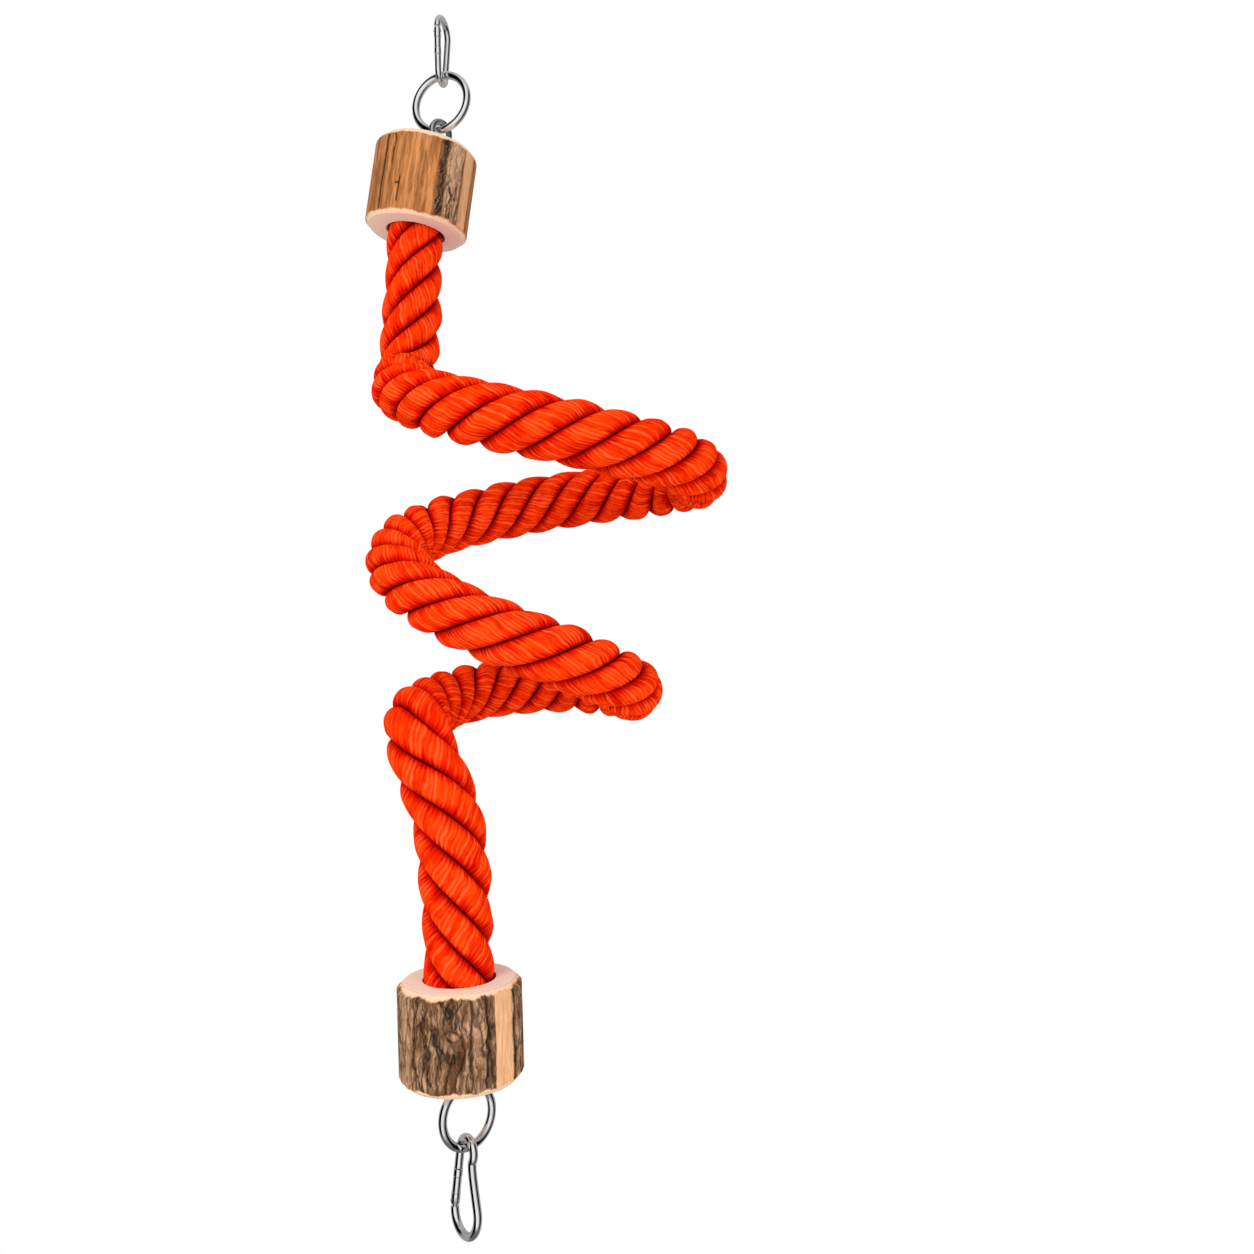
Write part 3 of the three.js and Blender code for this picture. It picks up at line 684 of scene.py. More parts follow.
corner_numbers = yarn_corners()
end_corners = np.zeros(4 * columns)
yarn_map = rope.data.uv_layers.new(name="yarn")
yarn_map.data.foreach_set("uv", np.concatenate([corner_numbers, end_corners]).astype(np.float32))
upper_mouth * MM
lower_mouth * MM
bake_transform(rope)
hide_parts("rope")
upper_mouth * MM
print("map corners", len(corner_numbers) // 2)

# %% [markdown]
# ## Round bars along a line
# Hooks, rings, eyes and the wire inside the rope are all round bars. Blender's curve bevel could make
# them, but the same arrays as for the rope do it in one function: circles across a line, joined into a
# tube.


# %% Tubes
def circle_tube(line, radii, sides, closed=False):
    """Circles across a line; a closed line is joined to its start, and an open one gets flat ends."""
    line = np.asarray(line, float)
    if closed:
        tangents = unit(np.roll(line, -1, 0) - np.roll(line, 1, 0))
        normal = unit(np.cross(line[1] - line[0], line[len(line) // 3] - line[0]))
        first = np.broadcast_to(normal, line.shape)
        second = np.cross(tangents, first)
    else:
        first, second = carried_frames(line)
    angle = np.linspace(0, 2 * np.pi, sides, endpoint=False)[None, :, None]
    outwards = np.cos(angle) * first[:, None] + np.sin(angle) * second[:, None]
    points = line[:, None] + np.broadcast_to(radii, len(line))[:, None, None] * outwards
    faces = grid_faces(len(line), sides, closed).tolist()
    if not closed:
        last = (len(line) - 1) * sides
        faces += [list(range(sides))[::-1], list(range(last, last + sides))]
    return points.reshape(-1, 3), faces


def join_shells(shells):
    """Several closed shells as one set of points and faces."""
    points = []
    faces = []
    count = 0
    for shell_points, shell_faces in shells:
        points.append(shell_points)
        faces += [[corner + count for corner in face] for face in shell_faces]
        count += len(shell_points)
    return np.vstack(points), faces


def flat_ring(centre, radius, facing, steps):
    """Points of a circle that stands upright and faces a level direction."""
    turn = np.linspace(0, 2 * np.pi, steps, endpoint=False)[:, None]
    level = np.cross(UP, facing)
    return np.asarray(centre) + radius * (np.cos(turn) * level + np.sin(turn) * UP)


print("tubes ready")

# %% [markdown]
# ## Nickel plate and drawn wire
# The chain is steel with a bright nickel plate. A plain mirror would look wrong, because plate has
# faint ripples and handling marks, so roughness and tone change slowly over it, with fine scratches in
# a bump.

# %% Metal materials
RIPPLES_PER_METRE = 90.0
MARKS_PER_METRE = 700.0


def metal_finish(name, dark, light, roughness, scratch):
    """A metal whose tone drifts between two colours and whose gloss is broken by fine noise."""
    finish = Finish(name, Metallic=1.0)
    place = finish.place()
    drift = place.noise(place, RIPPLES_PER_METRE, 2.0)
    marks = place.noise(place, MARKS_PER_METRE, 3.0, 0.6)
    finish.feed("Base Color", drift.step(0.3, 0.7).mix(dark, light))
    finish.feed("Roughness", varied(roughness, (drift, 0.08), (marks, 0.04)))
    finish.bump(drift + marks * 0.05, scratch, 0.1)
    return finish.material


nickel = metal_finish("nickel_plate", (0.74, 0.74, 0.75), (0.84, 0.84, 0.85), 0.1, 0.0001)
forged = metal_finish("forged_plate", (0.34, 0.34, 0.35), (0.46, 0.46, 0.47), 0.26, 0.0003)
drawn_wire = metal_finish("drawn_wire", (0.36, 0.36, 0.37), (0.55, 0.55, 0.56), 0.32, 0.0002)
nail_iron = metal_finish("dark_nail", (0.03, 0.026, 0.022), (0.09, 0.078, 0.066), 0.5, 0.0003)
print("metals", nickel.name, forged.name, drawn_wire.name, nail_iron.name)

# %% [markdown]
# ## Rings and hooks
# A ring is one welded circle of wire. A snap hook is wire bent into a narrow and a wide bow, with a
# gate in one leg. Bevelled curves could make them, but the hook's wire has to stop where the gate sits,
# so its line is worked out: two arcs, a curved leg between them on the far side, and a gap for the
# gate. The gate is a bar with a sleeve at each end. Flat tongues and a slim knuckle on the wire reach
# into it.

# %% Rings
WIRE_SIDES = 40
RING_STEPS = 288
WIRE_STEP = 0.6
for ring, centre in ((UPPER_RING, upper_ring), (LOWER_RING, lower_ring)):
    name = ring["name"]
    loop = flat_ring(centre, ring_radius(ring), ring_facing(ring["turn"] + 90), RING_STEPS)
    piece = put_mesh(name + "_round", *circle_tube(loop, RING_WIRE / 2, WIRE_SIDES, True), nickel, 180)
    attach(piece, name)
    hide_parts(name)

# %% Hook wire
GATE_PAST_PIN = 2.5
GATE_GAP = 0.6
LEG_PULL = 0.35
HOOK_STEPS = {"nose": 8, "narrow_bow": 36, "leg": 18, "wide_bow": 44, "stub": 6}


def hermite(start, leave, end, arrive, t):
    """Cubic curve between two points that leaves and arrives along the given directions."""
    ahead = (3 * t ** 2 - 2 * t ** 3) * (end - start)
    return start + ahead + (t ** 3 - 2 * t ** 2 + t) * leave + (t ** 3 - t ** 2) * arrive


def arc(radius, first_angle, last_angle, steps):
    """Points of an arc about the origin in X and Z: the cosine goes across and the sine goes up."""
    turn = np.linspace(first_angle, last_angle, steps)[:, None]
    return radius * (np.cos(turn) * [1, 0, 0] + np.sin(turn) * [0, 0, 1])


def gate_leg(size):
    """Start and direction of the leg that the gate closes, with the narrow bow at the origin, and the length
    along it at which the wire goes on behind the hinge."""
    narrow, _, _, lean = hook_shape(size)
    start = narrow * np.array([-math.cos(lean), 0, -math.sin(lean)])
    along = np.array([-math.sin(lean), 0, math.cos(lean)])
    return start, along, size["pin"] + math.hypot(GATE_PAST_PIN, size["wire"] / 2) + GATE_GAP


def hook_line(size):
    """The wire's middle in X and Z from the nose, round the narrow bow at the origin, up the far leg and
    round the wide bow to the hinge."""
    narrow, wide, spread, lean = hook_shape(size)
    leg_start, leg_along, body_end = gate_leg(size)
    leg_length = spread * math.cos(lean)
    past = math.radians(size["bow_past"])
    left_off = max(0, body_end - leg_length) / wide
    nose = leg_start + leg_along * np.linspace(size["nose"], 0, HOOK_STEPS["nose"], endpoint=False)[:, None]
    narrow_bow = arc(narrow, math.pi + lean, 2 * math.pi + past, HOOK_STEPS["narrow_bow"])
    wide_bow = arc(wide, -lean, math.pi + lean - left_off, HOOK_STEPS["wide_bow"]) + [0, 0, spread]
    leave = LEG_PULL * spread * np.array([-math.sin(past), 0, math.cos(past)])
    arrive = LEG_PULL * spread * np.array([math.sin(lean), 0, math.cos(lean)])
    share = np.linspace(0, 1, HOOK_STEPS["leg"])[1:-1, None]
    leg = hermite(narrow_bow[-1], leave, wide_bow[0], arrive, share)
    line = [nose, narrow_bow, leg, wide_bow]
    if body_end < leg_length - 1:
        stub = np.linspace(leg_length, body_end, HOOK_STEPS["stub"])[1:, None]
        line.append(leg_start + leg_along * stub)
    return np.vstack(line)


print("points on the hooks' lines", len(hook_line(UPPER_HOOK)), len(hook_line(LOWER_HOOK)))

# %% [markdown]
# ### Tongues, knuckles and gates
# The gate of a snap hook turns on a pin at one end and rests on the nose at the other, where a flat
# tongue of the wire fits into it. Booleans could cut slots for the tongues, but a shut gate hides them,
# so the tongues and a slim knuckle simply reach into the bar. The bar has a sleeve at each end, set off
# by a groove.

# %% Tongues and gates
TANG = {"thick": 2.2, "wide": 3.2, "past_pin": 2.4, "past_nose": 4, "in_wire": 1}
KNUCKLE_SHARE = 0.6
KNUCKLE_PAST_PIN = 1
GATE_SLEEVE = 5.5
GATE_SHARES = {"nose_end": 0.95, "sleeve": 1.08, "groove": 0.78, "bar": 1.0, "hinge_end": 1.04}
GATE_ROUNDING = 0.3
GROOVE_WIDTH = 0.8
GROOVE_EDGE = 0.1


def tang(leg_start, leg_along, low, high):
    """A flat tongue along the leg: a four-sided bar between two lengths along it."""
    side = np.cross(leg_along, [0.0, 1.0, 0.0])
    corner = SQUARE * [TANG["wide"] / 2, TANG["thick"] / 2]
    section = corner[:, :1] * side + corner[:, 1:] * np.array([0.0, 1.0, 0.0])
    points = np.concatenate([leg_start + leg_along * length + section for length in (low, high)])
    return points, grid_faces(2, 4).tolist() + [[3, 2, 1, 0], [4, 5, 6, 7]]


def hook_shells(size):
    """Wire, knuckle and two tongues of a hook."""
    line = hook_line(size)
    lengths = running_length(line)
    even_line = at_lengths(line, lengths, np.arange(0, lengths[-1], WIRE_STEP))
    leg_start, leg_along, body_end = gate_leg(size)
    nose = size["nose"]
    pin = size["pin"]
    in_wire = TANG["in_wire"]
    knuckle = leg_start + leg_along * np.array([[pin - KNUCKLE_PAST_PIN], [body_end + in_wire]])
    return join_shells([
        circle_tube(even_line, size["wire"] / 2, WIRE_SIDES),
        circle_tube(knuckle, KNUCKLE_SHARE * size["wire"] / 2, WIRE_SIDES),
        tang(leg_start, leg_along, nose - in_wire, nose + TANG["past_nose"]),
        tang(leg_start, leg_along, pin - TANG["past_pin"], body_end + in_wire),
    ])


def gate_tube(size):
    """A round bar along the leg with a sleeve at each end and a groove beside each sleeve, from lengths along
    the leg and the share of the wire's radius at each."""
    leg_start, leg_along = gate_leg(size)[:2]
    start = size["nose"] + GATE_GAP
    end = size["pin"] + GATE_PAST_PIN
    sleeve = start + GATE_SLEEVE
    cheek = size["pin"] - GATE_SLEEVE
    groove = [(GROOVE_EDGE, "groove"), (GROOVE_WIDTH, "groove"), (GROOVE_WIDTH + GROOVE_EDGE, "bar")]
    sections = [(start, "nose_end"), (start + GATE_ROUNDING, "sleeve"), (sleeve, "sleeve")]
    sections += [(sleeve + step, kind) for step, kind in groove]
    sections += [(cheek - step, kind) for step, kind in reversed(groove)]
    sections += [(cheek, "sleeve"), (end - GATE_ROUNDING, "sleeve"), (end, "hinge_end")]
    lengths = np.array([length for length, kind in sections])[:, None]
    radii = np.array([GATE_SHARES[kind] for length, kind in sections]) * size["wire"] / 2
    return circle_tube(leg_start + leg_along * lengths, radii, WIRE_SIDES)


print("points of a hook and its gate", len(hook_shells(UPPER_HOOK)[0]), len(gate_tube(UPPER_HOOK)[0]))


# %% Hooks in place
def hang_hook(shell, size, centre, upside_down):
    """A piece of a hook turned about Z and set with the narrow bow at its centre."""
    points, faces = shell
    if upside_down:
        points = points * [1, -1, -1]
    turn = math.radians(size["turn"])
    about_z = np.array([[math.cos(turn), math.sin(turn), 0], [-math.sin(turn), math.cos(turn), 0], [0, 0, 1]])
    return points @ about_z + centre, faces


lower_bow_drop = ring_radius(LOWER_RING) - (LOWER_HOOK["wire"] + RING_WIRE) / 2 - CHAIN_GAP
lower_hook_eye = lower_ring - [0, 0, lower_bow_drop + hook_shape(LOWER_HOOK)[0]]
hooks = ((UPPER_HOOK, np.array([0, 0, upper_hook_eye]), False), (LOWER_HOOK, lower_hook_eye, True))
for size, centre, upside_down in hooks:
    for kind, shell in (("_hook", hook_shells(size)), ("_gate", gate_tube(size))):
        name = size["name"] + kind
        piece = put_mesh(name + "_bright", *hang_hook(shell, size, centre, upside_down), nickel)
        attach(piece, name)
        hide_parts(name)

# %% [markdown]
# ## Eye bolts
# Each block hangs by an eye bolt through its end. The eye is a ring of wire on a round shank, with a
# collar where the two meet. Two shells that overlap inside the collar are enough, because nothing shows
# there.

# %% Eye bolts
BOLT_DIAMETER = 5.5
BOLT_START = 38.1
BOLT_CHAMFER = 0.6
BOLT_TIP_SHARE = 0.8
EYE_STEPS = 64
COLLAR = ((-6, 1), (-3, 1.02), (-1, 1.12), (0.6, 1.2))


def eye_bolt(size, mouth, directions):
    """A ring of wire on a shank along the block's axis, in the block's own directions. The collar is given by
    heights from the foot of the eye and the share of the shank's radius at each."""
    top = eye_stand(size)
    foot = top - EYE_RADIUS
    turn = np.linspace(0, 2 * np.pi, EYE_STEPS, endpoint=False)[:, None]
    eye_angle = math.radians(90 + size["eye_turn"])
    flat = np.array([math.cos(eye_angle), math.sin(eye_angle), 0])
    loop = top * UP + EYE_RADIUS * (np.cos(turn) * flat + np.sin(turn) * UP)
    sections = [(BOLT_START, BOLT_TIP_SHARE), (BOLT_START + BOLT_CHAMFER, 1)]
    sections += [(foot + step, share) for step, share in COLLAR]
    heights, shares = np.array(sections).T
    points, faces = join_shells([
        circle_tube(loop, EYE["wire"] / 2, WIRE_SIDES, True),
        circle_tube(heights[:, None] * UP, shares * BOLT_DIAMETER / 2, WIRE_SIDES),
    ])
    return (points + [size["eye_offset"], 0, 0]) @ directions + mouth, faces


for size, mouth, directions, body in ((UPPER_BLOCK, upper_mouth, upper_frame, "upper"),
                                      (LOWER_BLOCK, lower_mouth, lower_frame, "lower")):
    name = size["name"] + "_eye_bolt"
    piece = put_mesh(name + "_forged", *eye_bolt(size, mouth, directions), forged)
    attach(piece, body)
    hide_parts(name)

# %% [markdown]
# ## Wire inside the rope
# A stiff wire in the middle of the rope keeps the coil's shape. It isn't seen, but it is there, so it
# follows the same line as the rope.

# %% Core wire
CORE_DIAMETER = 5
CORE_SHORTER = 2
CORE_ROWS = 240
CORE_SIDES = 12

core_along = np.linspace(rope_along[0] + CORE_SHORTER, rope_along[-1] - CORE_SHORTER, CORE_ROWS)
core_line = at_lengths(fine_line, fine_lengths, core_along)
core = put_mesh("core_wire_bent", *circle_tube(core_line, CORE_DIAMETER / 2, CORE_SIDES), drawn_wire, 60)
upper_mouth * MM
lower_mouth * MM
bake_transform(core)
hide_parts("core_wire")

# %% [markdown]
# ## Wood and bark
# Both blocks are cut from the same branch. Their ends are sawn, pale and pinkish, with faint year
# rings, and the edges are cut back to fresh tan wood. The side keeps its bark: plates and ridges that
# run up and down, dark fissures between them, and strips where the bark has come off. The large forms
# are in the surface itself, which carries them as numbers at its points, and the material adds the fine
# grain and the colours.

# %% Wood patterns
BEND_CELL = (8, 9)
BEND_REACH = 7.0
GRAIN_CELL = (0.55, 30)
STREAK_CELL = (1.3, 16)
BROAD_STREAK_CELL = (4, 45)
CRACK_CELL = (11, 44)
CRACK_WIDTH = 0.045
BARK_PATCH_CELL = (8, 14)
BARK_GRAIN_CELL = (2.2, 20)
WAVE_CELL = (9, 15)
WAVES_PER_MM = 0.2
WAVE_REACH = 4.5
YEAR_RING = 2.2

wood = Finish("branch_wood", Roughness=0.75, Specular_IOR_Level=0.15)
turn_mm, height_mm = wood.unrolled("round")
bark = wood.attribute("bark")
rough = wood.attribute("rough")
tone = wood.attribute("tone")
fresh = wood.attribute("fresh")
pith = wood.attribute("pith")
sawn = wood.attribute("sawn")
place = wood.place()
bend = (wood.cells(turn_mm, height_mm, BEND_CELL) - 0.5) * BEND_REACH
bent_mm = turn_mm + bend * (0.35 + rough * 0.65)
grain = wood.cells(bent_mm, height_mm, GRAIN_CELL, 3.0)
streaks = wood.cells(bent_mm, height_mm, STREAK_CELL, 4.0, 0.6)
broad_streaks = wood.cells(bent_mm, height_mm, BROAD_STREAK_CELL, 3.0)
crack = (wood.cells(bent_mm, height_mm, CRACK_CELL, 3.0) - 0.5).math("ABSOLUTE")
patches = wood.cells(bent_mm, height_mm, BARK_PATCH_CELL)
wave_count = turn_mm * WAVES_PER_MM + wood.cells(turn_mm, height_mm, WAVE_CELL) * WAVE_REACH
waves = (wave_count * (2 * math.pi)).math("SINE").step(0.3, 0.95) * patches.step(0.3, 0.55)
cracks = (1 - crack.step(0.0, CRACK_WIDTH)) * 0.95 + waves * 0.5
bark_grain = wood.cells(bent_mm, height_mm, BARK_GRAIN_CELL, 3.0)
dark = wood.attribute("fissure").math("MAXIMUM", cracks.math("MINIMUM", 1.0) * rough)
grit = place.noise(place, 900.0, 4.0, 0.7)
wander = place.noise(place, 60.0, 2.0)
year_rings = ((pith + wander * 3.0) * (2 * math.pi / YEAR_RING)).math("SINE") * 0.5 + 0.5
print("wood pattern nodes", len(wood.tree.nodes))

# %% [markdown]
# ### Colours of the wood
# Sawn ends, fresh cut edges, bare sides and bark each run between two colours of their own. One ramp
# over a single noise could colour them all, but then they would share their marks, so each is mixed
# from its own patterns first, and the numbers at the points say which one shows.

# %% Wood colours
WOOD_RELIEF = 0.0010
SAWN_PALE = (0.82, 0.67, 0.55)
SAWN_RING = (0.71, 0.52, 0.39)
FRESH_TAN = (0.60, 0.27, 0.105)
FRESH_PALE = (0.79, 0.46, 0.25)
BARE_TAN = (0.52, 0.21, 0.068)
BARE_BROWN = (0.22, 0.075, 0.02)
BARK_LIGHT = (0.49, 0.28, 0.155)
BARK_BROWN = (0.115, 0.048, 0.02)
FISSURE_DARK_AND_SHADE = (0.022, 0.010, 0.005)

sawn_colour = varied(year_rings * 0.55, (grit, 0.6)).step(0.0, 1.0).mix(SAWN_PALE, SAWN_RING)
fine_share = varied(0.0, (grain, 1.1), (streaks, 1.2))
bare_share = varied(fine_share, (broad_streaks, 2.2)) + tone
bare_colour = bare_share.step(0.0, 1.0).mix(BARE_BROWN, BARE_TAN)
bark_share = varied(tone, (bark_grain, 1.9), (grit, 0.7), (patches, 1.2))
bark_colour = bark_share.step(0.0, 1.0).mix(BARK_BROWN, BARK_LIGHT)
# Fissures and cracks take a near-black brown: the darker inner bark, deepened by painted shade in the
# recesses.
side_colour = dark.mix(bark.mix(bare_colour, bark_colour), FISSURE_DARK_AND_SHADE)
edge_share = varied(fine_share * 1.5, (broad_streaks, 1.2)) + 0.6
edge_colour = edge_share.step(0.0, 1.0).mix(FRESH_TAN, FRESH_PALE)
cut_colour = (fresh.step(0.96, 1.0) * 0.5).mix(edge_colour, sawn_colour)
wood.feed("Base Color", sawn.mix(fresh.mix(side_colour, cut_colour), sawn_colour))
wood.feed("Roughness", varied(0.62 + bark * 0.2, (grit, 0.2)))
relief = (streaks + grain * 0.5) * 0.25 + bark_grain * bark * 0.8 - dark * bark * 0.9
wood.bump(relief * (1 - sawn) + grit * 0.2, WOOD_RELIEF, 0.8)
print("wood material nodes", len(wood.tree.nodes))

# %% [markdown]
# ### The blocks' surface
# A block is a closed ring: its profile runs from the bolt hole over the far end, down the side, over
# the mouth and into the bore, and back to the hole. It could be a cylinder with holes cut by Booleans,
# but a profile carried round keeps an even grid for the bark. The bolt hole is off the middle, so the
# profile's centre shifts as it goes.

# %% Block profile
BLOCK_COLUMNS = 500
BLOCK_CHAMFER = 4
BORE_DEPTH = 49
BORE_GAP = 0.7
SEAT_GAP = 0.3
SINK_DIAMETER = 36


def block_profile(size):
    """Rows of radius, height and centre shift, and what each row belongs to. Each corner of the profile gives
    these three and the number of steps to the next corner, and straight stretches join them."""
    outer = size["diameter"] / 2
    height = size["height"]
    shift = size["eye_offset"]
    hole = BOLT_DIAMETER / 2 + SEAT_GAP
    bore = size["rope"] / 2 + BORE_GAP
    web = height - size["sink"]
    corners = [("hole", hole, BORE_DEPTH, shift, 3)]
    if size["sink"]:
        corners += [
            ("sink", hole, web, shift, 6),
            ("sink", SINK_DIAMETER / 2, web, shift, 5),
            ("far", SINK_DIAMETER / 2, height, shift, 9),
        ]
    else:
        corners += [("far", hole, height, shift, 14)]
    corners += [
        ("edge", outer - BLOCK_CHAMFER, height, 0, 7),
        ("side", outer, height - BLOCK_CHAMFER, 0, 84),
        ("edge", outer, BLOCK_CHAMFER, 0, 7),
        ("mouth", outer - BLOCK_CHAMFER, 0, 0, 12),
        ("bore", bore, 0, 0, 9),
        ("bore", bore, BORE_DEPTH, 0, 5),
    ]
    rows = []
    kinds = []
    for here, ahead in zip(corners, corners[1:] + corners[:1]):
        kind, steps = here[0], here[4]
        share = np.arange(steps)[:, None] / steps
        rows.append(np.array(here[1:4]) * (1 - share) + np.array(ahead[1:4]) * share)
        kinds += [kind] * steps
    return np.vstack(rows), np.array(kinds)


print("profile rows", len(block_profile(UPPER_BLOCK)[0]), len(block_profile(LOWER_BLOCK)[0]))

# %% [markdown]
# ### Bark as numbers
# Bark grows in plates that split as the branch thickens, so its lines run up the branch, wander
# sideways and fade out again. Noise that is cut at a level would draw closed cells instead, so the
# lines here come from a count round the branch that noise pushes to and fro. Angles are counted from
# the side that faces the viewer, to the right.


# %% Bark lines
def band(value, low, high, soft):
    """1 between low and high, falling to 0 over a soft edge."""
    return smoothstep(value, low - soft, low + soft) * (1 - smoothstep(value, high - soft, high + soft))


def pushed_count(turn, height, count, wander, stretch, seed):
    """A count round the branch that noise pushes to and fro on the way up."""
    return turn * count + wander * layered_noise(turn, height, max(3, count // 4), stretch, seed)


def split_lines(turn, height, count, wander, stretch, seed, width):
    """Lines where the pushed count comes to a whole number; a second noise fades each line in and out."""
    pushed = pushed_count(turn, height, count, wander, stretch, seed)
    from_line = np.abs((pushed + 0.5) % 1.0 - 0.5)
    fade = smoothstep(layered_noise(turn, height, count, 1.3 * stretch, seed + 9, 2), -0.45, 0.25)
    return (1 - smoothstep(from_line, 0.0, width)) * fade


def plate_tones(turn, height, count, wander, stretch, seed):
    """A random tone from -1 to 1 for each plate between two of the lines that split_lines draws."""
    tones = np.random.default_rng(seed + 3).uniform(-1, 1, count)
    return tones[np.floor(pushed_count(turn, height, count, wander, stretch, seed)).astype(int) % count]


def seam_lines(facing, sway, seams):
    """Dark seams up the branch. Each has two angles, a soft edge, its share of the sway and its depth."""
    total = 0.0
    for low, high, soft, share, depth in seams:
        total = total + depth * band(facing + share * sway, low, high, soft)
    return total


print("a band's soft edge", band(np.array([9.0, 10.0, 11.0]), 10, 20, 2).round(2))

# %% [markdown]
# ### The upper block's side
# Most of the bark has come off this block. One rough strip is left, with a pale plate on it and dark
# seams beside it. The strip could be a picture on the surface, but bands of angle and height keep its
# edges sharp at any size, and noise lets them sway.

# %% Upper bark
UPPER_STRIP = (18, 48)
UPPER_DARK_SIDE = (18, 28)
UPPER_PALE_PLATE = (30, 47)
UPPER_BACK_STRIP = (118, 150)
UPPER_CUT = (50.5, 68)
UPPER_SEAMS = ((48, 49.8, 0.7, 0.6, 1.0), (-48.5, -46, 0.7, 0.8, 0.9))


def upper_bark(facing, turn, height):
    """Mostly bare wood, with one rough strip right of the middle and fissures on the left."""
    sway = 2.5 * layered_noise(turn, height, 24, 12, 3)
    strip = band(facing + sway, *UPPER_STRIP, 1.2)
    back_strip = band(np.abs(facing + sway), *UPPER_BACK_STRIP, 3)
    bark = np.clip(strip + back_strip, 0, 1)
    pale_plate = band(facing + 1.5 * sway, *UPPER_PALE_PLATE, 1.5) * smoothstep(height + 4 * sway, 34, 42)
    dark_side = band(facing + sway, *UPPER_DARK_SIDE, 3)
    seams = seam_lines(facing, sway, UPPER_SEAMS)
    upper_left = 0.8 * band(facing + 1.2 * sway, -37.5, -35.5, 0.8) * smoothstep(height, 38, 46)
    thin = 0.8 * band(facing + 0.6 * sway, 69, 70.2, 0.6) * smoothstep(-height, -52, -44)
    crack = band(facing + 0.5 * sway, -24.5, -23, 0.5) * band(height, 9, 31, 1.0)
    bar = band(facing, -29, -23, 0.8) * band(height + 0.3 * sway, 24.5, 26, 0.5)
    left = 0.25 * split_lines(turn, height, 70, 1.1, 24, 31, 0.2) * band(facing, -85, -25, 8)
    swirls = 0.9 * split_lines(turn, height, 84, 3.2, 11, 41, 0.42) * strip * (1 - 0.6 * pale_plate)
    fissure = np.clip(0.35 * dark_side + seams + upper_left + thin + crack + bar + left + swirls, 0, 1)
    tone = 0.42 + 0.25 * plate_tones(turn, height, 46, 0.9, 30, 17) * (1 - bark)
    tone = tone + bark * (0.25 - 0.35 * dark_side + 0.55 * pale_plate)
    rough = bark * (0.95 - 0.5 * pale_plate)
    fresh = 0.6 * band(facing, *UPPER_CUT, 2)
    looks = {"bark": bark, "fissure": fissure, "tone": tone, "rough": rough, "fresh": fresh}
    return looks, 0.9 * bark - 0.9 * fissure


print("seams on the upper block", len(UPPER_SEAMS))

# %% [markdown]
# ### The lower block's side
# This block keeps its bark all round, in narrow ridges, apart from one bare strip. It could use the
# upper block's pattern with other numbers, but here every plate has its own tone, and a knot and a
# nail's head break the ridges, so it has a function of its own.

# %% Lower bark
LOWER_STRIP = (33, 54.5)
LOWER_MIDDLE = (-41, -5)
LOWER_SEAMS = ((56, 59.5, 0.8, 1.0, 1.0), (23, 25.5, 0.8, 1.4, 0.9), (9.5, 11.5, 0.8, 1.5, 0.8),
               (-47, -45, 0.8, 1.0, 0.8))
LOWER_PLATES = {"count": 36, "wander": 1.1, "stretch": 20, "seed": 107}
KNOT = {"facing": -7, "height": 29}
NAIL_SPOT = {"facing": -21, "height": 32}


def lower_bark(facing, turn, height):
    """Ridged bark all round, with a bare strip to the right and a knot in the middle."""
    sway = 2.5 * layered_noise(turn, height, 24, 14, 103)
    strip = band(facing + 0.5 * sway, *LOWER_STRIP, 0.8)
    bark = 1 - strip
    middle = band(facing + sway, *LOWER_MIDDLE, 5)
    main = split_lines(turn, height, **LOWER_PLATES, width=0.16)
    fissure = np.clip(0.7 * main * bark + seam_lines(facing, sway, LOWER_SEAMS), 0, 1)
    tone = 0.5 + 0.35 * plate_tones(turn, height, **LOWER_PLATES)
    tone = tone + 0.3 * layered_noise(turn, height, 26, 12, 117)
    tone = tone - 0.27 * middle + 0.05 * band(facing, 10, 34, 3)
    knot = np.hypot((facing - KNOT["facing"]) * 0.6, (height - KNOT["height"] + sway) * 1.3)
    off_knot = smoothstep(knot, 1.5, 4.5)
    tone = tone + 0.3 * (1 - off_knot)
    fissure = fissure * (0.4 + 0.6 * off_knot) + 0.5 * band(knot, 4.0, 5.0, 0.6)
    rough = bark * (0.75 + 0.2 * middle) * off_knot
    fresh = 0.95 * strip
    looks = {"bark": bark, "fissure": np.clip(fissure, 0, 1), "tone": tone, "rough": rough, "fresh": fresh}
    nail = np.hypot((facing - NAIL_SPOT["facing"]) * 0.8, height - NAIL_SPOT["height"])
    return looks, (1.2 * bark - 1.6 * fissure) * smoothstep(nail, 3.0, 6.0)


print("seams on the lower block", len(LOWER_SEAMS))

# %% [markdown]
# ### Blocks in place
# The bark's height moves the side outwards, its ragged edge falls away towards the cut edges, and each
# point carries what the material needs: bark or bare, fissure, roughness, tone, fresh cut, sawn end and
# distance to the pith. These could be painted by hand, but numbers at the points follow the surface
# whenever a size changes.


# %% Angles and map of a block
def viewer_angle(level, mouth):
    """Degrees from the side of a block that faces the viewer, to the right, for level directions."""
    ahead = unit(CAMERA_PLACE[:2] - mouth[:2])
    right = np.array([-ahead[1], ahead[0]])
    return np.degrees(np.arctan2(level[..., :2] @ right, level[..., :2] @ ahead))


def round_map(size, heights):
    """Map corners of each face: millimetres round the branch and height over the mouth."""
    shape = (len(heights), BLOCK_COLUMNS)
    column = np.arange(BLOCK_COLUMNS)
    width = np.pi * size["diameter"] / BLOCK_COLUMNS
    left = np.broadcast_to(column * width, shape)
    right = np.broadcast_to((column + 1) * width, shape)
    low = np.broadcast_to(heights, shape)
    high = np.broadcast_to(np.roll(heights, -1, 0), shape)
    return np.stack([left, high, right, high, right, low, left, low], -1).ravel()


